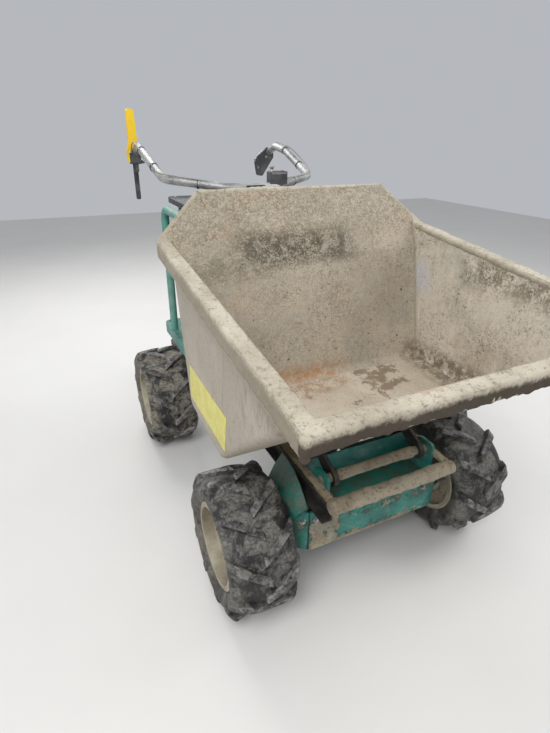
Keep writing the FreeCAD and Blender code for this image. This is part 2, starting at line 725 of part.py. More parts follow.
def up_cylinder(start, end, radius):
    """Round bar on the cylinder's axis, between two distances from its foot."""
    return rod(CYLINDER_BASE + CYLINDER_WAY * start, CYLINDER_BASE + CYLINDER_WAY * end, radius)


def cylinder_barrel():
    y, z = CYLINDER_BASE.y, CYLINDER_BASE.z
    eye = across(-BARREL_EYE_HALF, BARREL_EYE_HALF, y, z, BARREL_EYE_RADIUS)
    tube = up_cylinder(BARREL_EYE_RADIUS - GLAND_STEP, BARREL_LENGTH - GLAND_LENGTH / 2, BARREL_RADIUS)
    gland = up_cylinder(BARREL_LENGTH - GLAND_LENGTH, BARREL_LENGTH, BARREL_RADIUS + GLAND_STEP)
    bore = up_cylinder(BARREL_EYE_RADIUS + BARREL_END, BARREL_LENGTH + CUT, ROD_RADIUS + RUNNING_FIT)
    pin_bore = across(-BARREL_EYE_HALF - CUT, BARREL_EYE_HALF + CUT, y, z, CYLINDER_PIN_RADIUS + RUNNING_FIT)
    return fuse([eye, tube, gland]).cut(bore).cut(pin_bore)


def cylinder_rod():
    start = BARREL_EYE_RADIUS + BARREL_END + ROD_END_GAP
    shaft = up_cylinder(start, CYLINDER_LENGTH, ROD_RADIUS)
    eye = across(-ROD_EYE_HALF, ROD_EYE_HALF, CYLINDER_EYE.y, CYLINDER_EYE.z, ROD_EYE_RADIUS)
    return fuse([shaft, eye])


def cylinder_bracket():
    inner = BARREL_EYE_HALF + CLEVIS_GAP
    y, z = CYLINDER_BASE.y, CYLINDER_BASE.z
    start = y - MEMBER_LEAD
    half = BARREL_EYE_RADIUS + BRACKET_MARGIN
    side = [(start, RAIL_BOTTOM_Z, 0), (start + MEMBER_WIDTH, RAIL_BOTTOM_Z, 0),
            (y + half, z - half, BRACKET_CORNER), (y - half, z - half, BRACKET_CORNER), (y - half, z + half, 0)]
    ear = prism(side, in_yz(inner), ACROSS * CLEVIS_PLATE)
    reach = inner + CLEVIS_PLATE + PIN_HEAD
    return fuse([ear, mirrored(ear), across(-reach, reach, y, z, CYLINDER_PIN_RADIUS)])


# Chassis
def rail(side):
    # C-channels with their open side outwards; the rear pair stands inside the front pair.
    low, high = RAIL_BOTTOM_Z, RAIL_TOP_Z
    pieces = []
    for web_x, start, end in ((FRONT_RAIL_X, RAIL_START_Y, FRONT_RAIL_END_Y),
                              (REAR_RAIL_X, REAR_RAIL_START_Y, REAR_RAIL_END_Y)):
        inside, tip = web_x + RAIL_SHEET, web_x + RAIL_FLANGE
        section = [(web_x, low, 0), (tip, low, 0), (tip, low + RAIL_SHEET, 0),
                   (inside, low + RAIL_SHEET, 0), (inside, high - RAIL_SHEET, 0),
                   (tip, high - RAIL_SHEET, 0), (tip, high, 0), (web_x, high, 0)]
        pieces.append(prism(section, in_xz(start), Vector(0, end - start, 0)))
    spacer = box(REAR_RAIL_X + RAIL_SHEET, FRONT_RAIL_X, REAR_RAIL_START_Y + SPACER_INSET,
                 FRONT_RAIL_END_Y - SPACER_INSET, low + RAIL_SHEET, high - RAIL_SHEET)
    return on_side(fuse(pieces + [spacer]), side)


def frame_crossmembers():
    # Columns: first y, length, half width.
    rows = (
        (CYLINDER_BASE_Y - MEMBER_LEAD, MEMBER_WIDTH, FRONT_RAIL_X),
        (REAR_RAIL_START_Y - MEMBER_WIDTH, MEMBER_WIDTH, FRONT_RAIL_X),
        (WHEELBASE - MEMBER_WIDTH / 2, MEMBER_WIDTH, REAR_RAIL_X),
        (REAR_RAIL_END_Y - END_PLATE, END_PLATE, REAR_RAIL_X),
    )
    members = [box(-half, half, y, y + length, RAIL_BOTTOM_Z, RAIL_TOP_Z) for y, length, half in rows]
    return Part.makeCompound(members)


def front_bumper():
    # Plate bent back at both ends; the plates welded to its legs carry the drive motors.
    half, front = BUMPER_HALF, -BUMPER_LEAD
    back = front + BUMPER_LEG_LENGTH
    inside = half - BUMPER_SHEET
    bend = BUMPER_BEND - BUMPER_SHEET
    corners = [(-half, front, BUMPER_BEND), (half, front, BUMPER_BEND), (half, back, 0), (inside, back, 0),
               (inside, front + BUMPER_SHEET, bend), (-inside, front + BUMPER_SHEET, bend), (-inside, back, 0),
               (-half, back, 0)]
    plate = prism(corners, in_xy(BUMPER_BOTTOM_Z), UP * BUMPER_HEIGHT)
    leg = box(inside, half, -AXLE_BEAM / 2 - LEG_PLATE_MARGIN, back,
              AXLE_Z - MOTOR_FLANGE_RADIUS - LEG_PLATE_MARGIN, BUMPER_BOTTOM_Z + LEG_PLATE_LAP)
    hole = across(-half - CUT, half + CUT, 0, AXLE_Z, WHEEL_SHAFT_RADIUS + SHAFT_HOLE_STEP)
    return fuse([plate, leg, mirrored(leg)]).cut(hole)


def front_cross_bar():
    y = RAIL_START_Y - CROSS_BAR_RADIUS
    return across(-CROSS_BAR_HALF, CROSS_BAR_HALF, y, RAIL_BOTTOM_Z + CROSS_BAR_RISE, CROSS_BAR_RADIUS)


def pivot_shaft():
    return across(-FRONT_RAIL_X, FRONT_RAIL_X, PIVOT_Y, PIVOT_Z, PIVOT_RADIUS)


def pivot_bracket():
    # Two ears on the inner faces of the rails, joined by a cross plate behind the shaft.
    inner = FRONT_RAIL_X - CRADLE_PLATE
    front, back = PIVOT_Y - PIVOT_EAR_FRONT, PIVOT_Y + PIVOT_EAR_REACH
    foot = RAIL_BOTTOM_Z + PIVOT_EAR_FOOT
    step = PIVOT_Z + PIVOT_EAR_STEP
    crown = PIVOT_Z + PIVOT_EAR_RISE
    side = [(front, foot, 0), (back, foot, 0), (back, step, 0), (PIVOT_Y + 2 * PIVOT_BOSS_RADIUS, step, 0),
            (PIVOT_Y + PIVOT_EAR_BEHIND, crown, 0), (front, crown, PIVOT_EAR_STEP)]
    ear = prism(side, in_yz(inner), ACROSS * CRADLE_PLATE)
    ear = ear.cut(across(inner - CUT, FRONT_RAIL_X + CUT, PIVOT_Y, PIVOT_Z, PIVOT_RADIUS))
    plate_y = back - PIVOT_EAR_STEP
    plate = box(-inner, inner, plate_y, plate_y + CRADLE_SHEET, foot + PIVOT_EAR_FOOT, step)
    return fuse([ear, mirrored(ear), plate])


def tub_rests():
    start = CYLINDER_BASE_Y - MEMBER_LEAD
    rest = box(CRADLE_X - REST_WIDTH / 2, CRADLE_X + REST_WIDTH / 2, start + REST_MARGIN,
               start + MEMBER_WIDTH - REST_MARGIN, RAIL_TOP_Z, CRADLE_BOTTOM_Z - SEAT_GAP)
    return Part.makeCompound([rest, mirrored(rest)])


def front_axle_beam():
    inside = BUMPER_HALF - BUMPER_SHEET
    half = AXLE_BEAM / 2
    beam = box(-inside, inside, -half, half, AXLE_Z - half, AXLE_Z + half)
    post = box(FRONT_RAIL_X, FRONT_RAIL_X + RAIL_FLANGE, -AXLE_POST_HALF, AXLE_POST_HALF, AXLE_Z + half,
               RAIL_BOTTOM_Z)
    return fuse([beam, post, mirrored(post)])


def drive_motor(side):
    face = BUMPER_HALF
    end = DISC_X - HUB_FLANGE_THICK - MOTOR_HUB_GAP
    flange = across(face, face + MOTOR_FLANGE_THICK, 0, AXLE_Z, MOTOR_FLANGE_RADIUS)
    nose = across(face, end, 0, AXLE_Z, MOTOR_NOSE_RADIUS)
    bore = across(face - CUT, end + CUT, 0, AXLE_Z, WHEEL_SHAFT_RADIUS + RUNNING_FIT)
    return on_side(fuse([flange, nose]).cut(bore), side)


def rear_axle_beam():
    # Beam under the rails' brackets, with a yoke for a kingpin at each end.
    y = WHEELBASE
    half = REAR_BEAM_WIDTH / 2
    stop = KINGPIN_X - KNUCKLE_RADIUS - YOKE_CLEARANCE
    inside = KNUCKLE_HALF_HEIGHT + KNUCKLE_GAP
    outside = inside + YOKE_PLATE
    beam = box(-stop, stop, y - half, y + half, AXLE_Z - REAR_BEAM_HEIGHT / 2, AXLE_Z + REAR_BEAM_HEIGHT / 2)
    pieces = [box(stop - YOKE_PLATE, stop, y - half, y + half, AXLE_Z - outside, AXLE_Z + outside)]
    for low in (AXLE_Z - outside, AXLE_Z + inside):
        high = low + YOKE_PLATE
        pieces.append(box(stop - YOKE_PLATE, KINGPIN_X, y - KNUCKLE_RADIUS, y + KNUCKLE_RADIUS, low, high))
        pieces.append(upright(KINGPIN_X, y, low, high, KNUCKLE_RADIUS))
    bore = upright(KINGPIN_X, y, AXLE_Z - outside - CUT, AXLE_Z + outside + CUT, KINGPIN_RADIUS + RUNNING_FIT)
    yoke = fuse(pieces).cut(bore)
    bracket = box(REAR_RAIL_X - MEMBER_WIDTH / 2, REAR_RAIL_X + MEMBER_WIDTH / 2, y - half, y + half,
                  AXLE_Z + REAR_BEAM_HEIGHT / 2, RAIL_BOTTOM_Z)
    return fuse([beam, yoke, mirrored(yoke), bracket, mirrored(bracket)])


# Wheels, drawn about the X axis and then placed
def ring(profile):
    """Solid of revolution about the X axis from rows of x and radius."""
    rows = [(x, radius, 0) for x, radius in profile]
    face = Part.Face(outline(rows, in_xy(0)))
    return face.revolve(Vector(0, 0, 0), ACROSS, 360)


def faceted_ring(profile, facets):
    """Ring about the X axis with flat facets, from rows of x and radius."""
    sections = []
    for i in range(facets):
        angle = 2 * math.pi * i / facets
        sections.append([Vector(x, radius * math.cos(angle), radius * math.sin(angle)) for x, radius in profile])
    faces = []
    for i, section in enumerate(sections):
        last = sections[i - 1]
        for j, point in enumerate(section):
            loop = [section[j - 1], point, last[j], last[j - 1], section[j - 1]]
            faces.append(Part.Face(Part.makePolygon(loop)))
    return Part.Solid(Part.makeShell(faces))


def lug(angle, lean):
    """Bar from just past the tread's centre over the shoulder, its centre end trailing by the sweep."""
    x0, x1 = -LUG_LAP, TYRE_HALF_WIDTH - LUG_END_INSET
    middle = (x0 + x1) / 2
    way = Vector((x1 - x0) * lean, LUG_SWEEP, 0).normalize()
    overhang = LUG_WIDTH / 2 / abs(way.x)
    root = TYRE_RADIUS - LUG_HEIGHT - LUG_ROOT_DEPTH
    # Columns: x on the tread, radius there.
    rows = (
        (x0, TYRE_RADIUS),
        (middle, TYRE_RADIUS),
        (TYRE_HALF_WIDTH - LUG_SHOULDER_INSET, TYRE_RADIUS),
        (TYRE_HALF_WIDTH + LUG_PROUD, TYRE_RADIUS - LUG_SHOULDER_DROP),
        (x1, root - LUG_TOE_DROP),
        (x0, root),
    )
    points = []
    for x, radius in rows:
        y = (x - middle) / (x1 - x0) * LUG_SWEEP
        reach = abs(y) + overhang if abs(y) > overhang else 0
        points.append(Vector(x * lean, y - overhang, math.sqrt(radius ** 2 - reach ** 2)))
    bar = Part.Face(Part.makePolygon(points + points[:1])).extrude(Vector(0, 2 * overhang, 0))
    bar.rotate(Vector(0, 0, 0), ACROSS, angle)
    return bar


def tyre_ring():
    bead = RIM_HALF_WIDTH - RIM_SHEET
    crown = TYRE_RADIUS - LUG_HEIGHT
    # The flats of the bore rest on the rim's round seat.
    spread = 1 / math.cos(math.pi / TYRE_FACETS)
    half = [(bead, RIM_SEAT_RADIUS * spread), (bead, RIM_FLANGE_RADIUS * spread),
            (TYRE_HALF_WIDTH, RIM_FLANGE_RADIUS + SIDEWALL_RISE),
            (TYRE_HALF_WIDTH - CROWN_INSET, crown)]
    carcass = faceted_ring([(-x, radius) for x, radius in half] + half[::-1], TYRE_FACETS)
    step = 360 / LUGS_PER_SIDE
    lugs = []
    for i in range(LUGS_PER_SIDE):
        lugs.append(lug(i * step, 1))
        lugs.append(lug((i + 0.5) * step, -1))
    return fuse([carcass] + lugs)


def rim_ring():
    half, sheet = RIM_HALF_WIDTH, RIM_SHEET
    flange, seat, well = RIM_FLANGE_RADIUS, RIM_SEAT_RADIUS, RIM_WELL_RADIUS
    slope = RIM_WELL_HALF + RIM_WELL_SLOPE
    shift = RIM_BEND_SHIFT
    outside = [(half - sheet, flange), (half - sheet, seat), (slope, seat), (RIM_WELL_HALF, well)]
    inside = [(half, flange), (half, seat - sheet), (slope + shift, seat - sheet),
              (RIM_WELL_HALF + shift, well - sheet)]
    section = outside + [(-x, radius) for x, radius in outside[::-1]]
    section += [(-x, radius) for x, radius in inside] + inside[::-1]
    barrel = ring(section)
    x0, x1 = -DISC_INSET, sheet - DISC_INSET
    disc = across(x0, x1, 0, 0, seat - sheet / 2)
    wheel = fuse([barrel, disc]).cut(across(x0 - CUT, x1 + CUT, 0, 0, PILOT_HOLE_RADIUS))
    for i in range(STUDS):
        wheel = wheel.cut(stud_rod(i, x0 - CUT, x1 + CUT, STUD_RADIUS + STUD_FIT))
    return wheel


def stud_rod(index, x0, x1, radius):
    angle = 2 * math.pi * index / STUDS
    return across(x0, x1, STUD_CIRCLE * math.cos(angle), STUD_CIRCLE * math.sin(angle), radius)


def hub(driven):
    face = -DISC_INSET
    back = face - HUB_FLANGE_THICK
    nut = face + RIM_SHEET
    pieces = [across(back, face, 0, 0, HUB_FLANGE_RADIUS),
              across(face, face + HUB_PILOT_LENGTH, 0, 0, PILOT_HOLE_RADIUS - STUD_FIT)]
    for i in range(STUDS):
        pieces.append(stud_rod(i, face, nut, STUD_RADIUS))
        pieces.append(stud_rod(i, nut, nut + NUT_HEIGHT, NUT_RADIUS))
    if driven:
        pieces.append(across(BUMPER_HALF + SHAFT_END_GAP - WHEEL_X, back, 0, 0, WHEEL_SHAFT_RADIUS))
        return fuse(pieces)
    pieces.append(across(back - HUB_BOSS_LENGTH, back, 0, 0, HUB_BOSS_RADIUS))
    start = back - HUB_BOSS_LENGTH - CUT
    bore = across(start, face + HUB_PILOT_LENGTH / 2, 0, 0, WHEEL_SHAFT_RADIUS + RUNNING_FIT)
    return fuse(pieces).cut(bore)


# Steering
def knuckle(side):
    y = WHEELBASE
    boss = upright(KINGPIN_X, y, AXLE_Z - KNUCKLE_HALF_HEIGHT, AXLE_Z + KNUCKLE_HALF_HEIGHT, KNUCKLE_RADIUS)
    reach = KNUCKLE_HALF_HEIGHT + YOKE_PLATE + KINGPIN_HEAD
    pin = upright(KINGPIN_X, y, AXLE_Z - reach, AXLE_Z + reach, KINGPIN_RADIUS)
    spindle = across(KINGPIN_X, DISC_X + SPINDLE_END, y, AXLE_Z, WHEEL_SHAFT_RADIUS)
    low, high = STEER_ARM_Z, STEER_ARM_Z + STEER_ARM_THICK
    half = STEER_ARM_WIDTH / 2
    arm = box(KINGPIN_X - half, KINGPIN_X + half, y, y + STEER_ARM, low, high)
    eye = upright(KINGPIN_X, y + STEER_ARM, low, high, half)
    return on_side(fuse([boss, pin, spindle, arm, eye]), side)


def tie_rod():
    # Straight rod between the two steering arms, with a link forward to the column's arm.
    y = WHEELBASE + STEER_ARM
    pieces = [across(-KINGPIN_X, KINGPIN_X, y, TIE_ROD_Z, TIE_ROD_RADIUS)]
    for word, side in SIDES:
        top = TIE_ROD_BOTTOM_Z + TIE_ROD_END_HEIGHT
        pieces.append(upright(side * KINGPIN_X, y, TIE_ROD_BOTTOM_Z, top, TIE_ROD_END_RADIUS))
    link_y = COLUMN_Y + STEER_ARM
    low, high = TIE_ROD_Z - TIE_LINK_HALF, TIE_ROD_Z + TIE_LINK_HALF
    pieces.append(box(-TIE_ROD_END_RADIUS, TIE_ROD_END_RADIUS, link_y, y, low, high))
    pieces.append(upright(0, link_y, low, high, TIE_EYE_RADIUS))
    return fuse(pieces)


def steering_column():
    low, high = COLUMN_ARM_Z, COLUMN_ARM_Z + STEER_ARM_THICK
    half = STEER_ARM_WIDTH / 2
    shaft = upright(0, COLUMN_Y, low, CLAMP_BOTTOM_Z, COLUMN_RADIUS)
    arm = box(-half, half, COLUMN_Y, COLUMN_Y + STEER_ARM, low, high)
    eye = upright(0, COLUMN_Y + STEER_ARM, low, high, TIE_EYE_RADIUS)
    collar_z = POST_TOP_Z + COLLAR_GAP
    collar = upright(0, COLUMN_Y, collar_z, collar_z + COLLAR_HEIGHT, COLUMN_RADIUS + COLLAR_STEP)
    return fuse([shaft, arm, eye, collar])


def steering_post():
    tube = upright(0, COLUMN_Y, POST_BOTTOM_Z, POST_TOP_Z, POST_RADIUS)
    foot = box(-REAR_RAIL_X, REAR_RAIL_X, COLUMN_Y - POST_FOOT_HALF, COLUMN_Y + POST_FOOT_HALF, RAIL_TOP_Z,
               POST_BOTTOM_Z)
    bore = upright(0, COLUMN_Y, RAIL_TOP_Z - CUT, POST_TOP_Z + CUT, COLUMN_RADIUS + RUNNING_FIT)
    return fuse([tube, foot]).cut(bore)


# Handlebar and what is clamped to it
def handlebar(radius=BAR_RADIUS):
    # Columns: half width, y, rise over the bar's middle.
    rows = (
        (BAR_MIDDLE_HALF, COLUMN_Y, 0),
        (KNEE_HALF, KNEE_Y, KNEE_RISE),
        (CREST_HALF, CREST_Y, CREST_RISE),
        (GRIP_HALF, GRIP_Y, GRIP_RISE),
        (TIP_HALF, TIP_Y, TIP_RISE),
    )
    half = [Vector(x, y, BAR_MIDDLE_Z + rise) for x, y, rise in rows]
    points = [Vector(-p.x, p.y, p.z) for p in reversed(half)] + half
    return bent_tube(points, BAR_BEND, radius)


def on_bar(shape):
    """Shape with the handlebar's seat cut into it."""
    return shape.cut(handlebar(BAR_RADIUS + RUNNING_FIT))


def handlebar_clamp():
    half = CLAMP_DEPTH / 2
    top = BAR_MIDDLE_Z + CLAMP_RISE
    return on_bar(box(-CLAMP_HALF, CLAMP_HALF, COLUMN_Y - half, COLUMN_Y + half, CLAMP_BOTTOM_Z, top))


def console_box():
    # Small switch box on the bar, beside its clamp.
    x = CLAMP_HALF + CONSOLE_GAP
    y = COLUMN_Y - CONSOLE_LEAD
    z = BAR_MIDDLE_Z + BAR_RADIUS - CONSOLE_LAP
    block = box(x, x + CONSOLE_WIDTH, y, y + CONSOLE_DEPTH, z, z + CONSOLE_HEIGHT)
    return on_bar(eased(block, CONSOLE_CORNER, Vector(0, 1, 0)))


def control_box():
    x = -TIP_HALF - CONTROL_OUT
    y = TIP_Y - CONTROL_LEAD
    block = box(x, x + CONTROL_WIDTH, y, y + CONTROL_LENGTH, CONTROL_TOP_Z - CONTROL_HEIGHT, CONTROL_TOP_Z)
    return on_bar(eased(block, CONTROL_CORNER, ACROSS))


def grip_lever():
    # Blade that narrows to its top, with a short foot down the outside of the control box.
    outer = -TIP_HALF - LEVER_OUT
    low = CONTROL_TOP_Z + LEVER_GAP
    taper = (LEVER_WIDTH - LEVER_TIP_WIDTH) / 2
    high = low + LEVER_HEIGHT
    foot = low - LEVER_GAP - LEVER_FOOT_DROP
    blade = [(outer, low, 0), (outer + LEVER_WIDTH, low, LEVER_CORNER),
             (outer + LEVER_WIDTH - taper, high, 2 * LEVER_CORNER), (outer + taper, high, 2 * LEVER_CORNER)]
    hook = [(outer - LEVER_FOOT_WIDTH, foot, LEVER_FOOT_WIDTH / 3), (outer, foot, 0), (outer, low, 0),
            (outer + LEVER_WIDTH / 2, low, 0), (outer + taper / 2, low + LEVER_WIDTH, 0),
            (outer - LEVER_FOOT_WIDTH, low, LEVER_CORNER)]
    y = TIP_Y - CONTROL_LEAD
    pieces = [prism(rows, in_xz(y), Vector(0, LEVER_THICK, 0)) for rows in (blade, hook)]
    return on_bar(fuse(pieces))


def stop_lever():
    x = -TIP_HALF - CONTROL_OUT + STOP_LEVER_INSET
    y = TIP_Y + STOP_LEVER_SETBACK
    high = CONTROL_TOP_Z - CONTROL_HEIGHT
    low = high - STOP_LEVER_LENGTH
    far = x + STOP_LEVER_WIDTH
    blade = [(x, high, 0), (x, low, LEVER_CORNER), (far, low, LEVER_CORNER), (far, high, 0)]
    return prism(blade, in_xz(y), Vector(0, STOP_LEVER_THICK, 0))


def hand_guard():
    # Plate round the left grip's tip, spreading inwards and down.
    x, z = TIP_HALF, CONTROL_TOP_Z
    collar, width, drop = HAND_GUARD_COLLAR, HAND_GUARD_WIDTH, HAND_GUARD_DROP
    corners = [(x + collar, z + collar), (x + collar, z - collar), (x - 0.45 * width, z - drop),
               (x - 0.85 * width, z - 0.95 * drop), (x - width, z - 0.3 * drop), (x - collar, z + collar)]
    blade = [(a, b, HAND_GUARD_CORNER) for a, b in corners]
    return on_bar(prism(blade, in_xz(TIP_Y - HAND_GUARD_LEAD), Vector(0, HAND_GUARD_SHEET, 0)))


# Engine deck and what stands on it
def engine_deck():
    sheet = tray(DECK_HALF, DECK_FRONT_Y, DECK_REAR_Y, DECK_FRONT_RADIUS, DECK_REAR_RADIUS, DECK_TOP_Z,
                 DECK_SKIRT, DECK_SHEET)
    return sheet.cut(upright(0, COLUMN_Y, DECK_TOP_Z - DECK_SKIRT, DECK_TOP_Z + CUT, POST_RADIUS))


def deck_legs():
    legs = []
    for x, y in ((FRONT_RAIL_X, DECK_FRONT_Y + LEG_LENGTH), (REAR_RAIL_X, ENGINE_Y + LEG_SETBACK),
                 (REAR_RAIL_X, DECK_REAR_Y - 1.5 * LEG_LENGTH)):
        leg = box(x, x + RAIL_FLANGE, y - LEG_LENGTH / 2, y + LEG_LENGTH / 2, RAIL_TOP_Z,
                  DECK_TOP_Z - DECK_SHEET)
        legs += [leg, mirrored(leg)]
    return Part.makeCompound(legs)


def engine_guard(side):
    points = [Vector(GUARD_X, GUARD_REAR_Y, DECK_TOP_Z), Vector(GUARD_X, GUARD_REAR_Y, GUARD_TOP_Z),
              Vector(GUARD_X, GUARD_FRONT_Y, GUARD_TOP_Z), Vector(GUARD_X, GUARD_FRONT_Y, DECK_TOP_Z)]
    return on_side(bent_tube(points, GUARD_BEND, GUARD_RADIUS), side)


def guard_cross_tube():
    # Tube between the two hoops, with posts that hold the hood's front.
    x = GUARD_X - GUARD_RADIUS
    y = GUARD_FRONT_Y + CROSS_TUBE_SETBACK
    tube = across(-x, x, y, GUARD_TOP_Z, CROSS_TUBE_RADIUS)
    post = box(POST_X - POST_WIDTH / 2, POST_X + POST_WIDTH / 2, y - POST_DEPTH / 2, y + POST_DEPTH / 2,
               GUARD_TOP_Z, HOOD_TOP_Z - HOOD_SHEET)
    return fuse([tube, post, mirrored(post)])


def rear_panel():
    # Sheet with both sides bent forward and a stack of vents.
    back = PANEL_Y + PANEL_SHEET
    front = PANEL_Y - PANEL_FLANGE
    inside = PANEL_HALF - PANEL_SHEET
    bend = PANEL_BEND - PANEL_SHEET
    corners = [(-PANEL_HALF, front, 0), (-inside, front, 0), (-inside, PANEL_Y, bend), (inside, PANEL_Y, bend),
               (inside, front, 0), (PANEL_HALF, front, 0), (PANEL_HALF, back, PANEL_BEND),
               (-PANEL_HALF, back, PANEL_BEND)]
    sheet = prism(corners, in_xy(DECK_TOP_Z), UP * (HOOD_TOP_Z - HOOD_SHEET - DECK_TOP_Z))
    for i in range(PANEL_VENTS):
        z = DECK_TOP_Z + VENT_RISE + i * VENT_PITCH
        sheet = sheet.cut(box(-VENT_HALF, VENT_HALF, PANEL_Y - CUT, back + CUT, z, z + VENT_HEIGHT))
    return sheet


def hood():
    sheet = tray(HOOD_HALF, HOOD_FRONT_Y, HOOD_REAR_Y, HOOD_FRONT_RADIUS, HOOD_REAR_RADIUS, HOOD_TOP_Z,
                 HOOD_SKIRT, HOOD_SHEET)
    hole_radius = COLUMN_RADIUS + HOOD_HOLE_STEP
    return sheet.cut(upright(0, COLUMN_Y, HOOD_TOP_Z - HOOD_SKIRT, HOOD_TOP_Z + CUT, hole_radius))


def engine_block():
    # Crankcase on two feet; its finned cylinder and head lean forward.
    base = DECK_TOP_Z
    y0, y1 = ENGINE_Y - CASE_HALF_LENGTH, ENGINE_Y + CASE_HALF_LENGTH
    case = box(-CASE_HALF, CASE_HALF, y0, y1, base + FOOT_HEIGHT, base + CASE_HEIGHT)
    case = eased(case, CASE_RADIUS, ACROSS)
    foot = box(CASE_HALF - FOOT_WIDTH, CASE_HALF, y0, y1, base, base + CASE_RADIUS)
    low = base + BLOCK_RISE
    core = upright(0, ENGINE_Y, low, low + BLOCK_HEIGHT, BLOCK_RADIUS)
    pieces = [core]
    for i in range(FINS):
        z = low + FIN_START + i * FIN_PITCH
        pieces.append(upright(0, ENGINE_Y, z, z + FIN_THICK, FIN_RADIUS))
    head = box(-HEAD_HALF, HEAD_HALF, ENGINE_Y - HEAD_HALF, ENGINE_Y + HEAD_HALF, low + BLOCK_HEIGHT,
               low + BLOCK_HEIGHT + HEAD_HEIGHT)
    pieces.append(eased(head, HEAD_CORNER, UP))
    leaning = fuse(pieces)
    leaning.rotate(Vector(0, ENGINE_Y, low), ACROSS, BLOCK_LEAN)
    return fuse([case, foot, mirrored(foot), leaning])


def engine_shroud():
    # Round cover of the fan, with the starter's slotted cup on it.
    z = DECK_TOP_Z + SHROUD_RISE
    x0, x1 = CASE_HALF, CASE_HALF + SHROUD_DEPTH
    cover = across(x0, x1, ENGINE_Y, z, SHROUD_RADIUS)
    cover = cover.makeFillet(SHROUD_EDGE, [edge for edge in cover.Edges if edge.BoundBox.XMin > x1 - 1])
    x2 = x1 + STARTER_DEPTH
    whole = fuse([cover, across(x1, x2, ENGINE_Y, z, STARTER_RADIUS)])
    for i in range(STARTER_SLOTS):
        slot = box(x2 - STARTER_SLOT_DEPTH, x2 + CUT, -STARTER_SLOT_WIDTH / 2, STARTER_SLOT_WIDTH / 2,
                   STARTER_SLOT_START, STARTER_SLOT_END)
        slot.rotate(Vector(0, 0, 0), ACROSS, 360 * i / STARTER_SLOTS)
        slot.translate(Vector(0, ENGINE_Y, z))
        whole = whole.cut(slot)
    return whole


def muffler():
    # Rounded box with louvres on its outer face and a short pipe into the head.
    pipe_end = -HEAD_HALF
    x1 = pipe_end - MUFFLER_PIPE_LENGTH
    x0 = x1 - MUFFLER_WIDTH
    y0 = ENGINE_Y - MUFFLER_LEAD
    y1 = y0 + MUFFLER_LENGTH
    z0 = DECK_TOP_Z + MUFFLER_RISE
    can = eased(box(x0, x1, y0, y1, z0, z0 + MUFFLER_HEIGHT), MUFFLER_RADIUS, ACROSS)
    pitch = (MUFFLER_HEIGHT - 2 * LOUVRE_INSET) / (MUFFLER_LOUVRES - 1)
    for i in range(MUFFLER_LOUVRES):
        z = z0 + LOUVRE_INSET + i * pitch
        can = can.cut(box(x0 - CUT, x0 + LOUVRE_DEPTH, y0 + LOUVRE_INSET, y1 - LOUVRE_INSET,
                          z - LOUVRE_HEIGHT / 2, z + LOUVRE_HEIGHT / 2))
    pipe = across(x1, pipe_end, y0 + MUFFLER_PIPE_INSET, z0 + MUFFLER_PIPE_RISE, MUFFLER_PIPE_RADIUS)
    return fuse([can, pipe])


def air_cleaner():
    y = ENGINE_Y - AIR_CLEANER_LEAD
    z = DECK_TOP_Z + AIR_CLEANER_RISE
    case = box(HEAD_HALF, HEAD_HALF + AIR_CLEANER_WIDTH, y, y + AIR_CLEANER_LENGTH, z, z + AIR_CLEANER_HEIGHT)
    return eased(case, AIR_CLEANER_RADIUS, ACROSS)


def fuel_tank():
    y = ENGINE_Y + FUEL_TANK_SETBACK
    z = DECK_TOP_Z + CASE_HEIGHT
    tank = box(-FUEL_TANK_HALF, FUEL_TANK_HALF, y, y + FUEL_TANK_LENGTH, z, z + FUEL_TANK_HEIGHT)
    top = z + FUEL_TANK_HEIGHT
    cap = upright(FUEL_TANK_HALF / 2, y + FUEL_TANK_LENGTH / 2, top, top + CAP_HEIGHT, CAP_RADIUS)
    return fuse([eased(tank, FUEL_TANK_RADIUS, ACROSS), cap])


def hydraulic_pump():
    z = DECK_TOP_Z + PUMP_RISE
    flange = across(-CASE_HALF - PUMP_FLANGE_THICK, -CASE_HALF, ENGINE_Y, z, PUMP_FLANGE_RADIUS)
    body = across(-CASE_HALF - PUMP_FLANGE_THICK - PUMP_LENGTH, -CASE_HALF, ENGINE_Y, z, PUMP_RADIUS)
    return fuse([flange, body])


def hydraulic_tank():
    y = ENGINE_Y - OIL_TANK_LEAD
    top = DECK_TOP_Z + OIL_TANK_HEIGHT
    tank = box(-OIL_TANK_OUT, OIL_TANK_WIDTH - OIL_TANK_OUT, y, y + OIL_TANK_LENGTH, DECK_TOP_Z, top)
    cap_x = OIL_TANK_WIDTH / 2 - OIL_TANK_OUT
    cap = upright(cap_x, y + OIL_TANK_LENGTH / 2, top, top + CAP_HEIGHT, CAP_RADIUS)
    return fuse([eased(tank, OIL_TANK_RADIUS, UP), cap])


# Platform
def platform():
    sheet = tray(PLATFORM_HALF, PLATFORM_FRONT_Y, PLATFORM_REAR_Y, 0, PLATFORM_RADIUS, PLATFORM_Z, PLATFORM_LIP,
                 PLATFORM_SHEET)
    pieces = [sheet]
    middle = REAR_RAIL_X - HINGE_KNUCKLE_INSET
    for word, side in SIDES:
        x0 = side * middle - HINGE_KNUCKLE_WIDTH / 2
        x1 = x0 + HINGE_KNUCKLE_WIDTH
        pieces.append(box(x0, x1, HINGE_Y, PLATFORM_FRONT_Y + HINGE_STRAP_LAP, HINGE_Z - HINGE_STRAP_HALF,
                          HINGE_Z + HINGE_STRAP_HALF))
        pieces.append(across(x0, x1, HINGE_Y, HINGE_Z, HINGE_KNUCKLE_RADIUS))
    bore = across(-PLATFORM_HALF, PLATFORM_HALF, HINGE_Y, HINGE_Z, HINGE_RADIUS + RUNNING_FIT)
    return fuse(pieces).cut(bore)


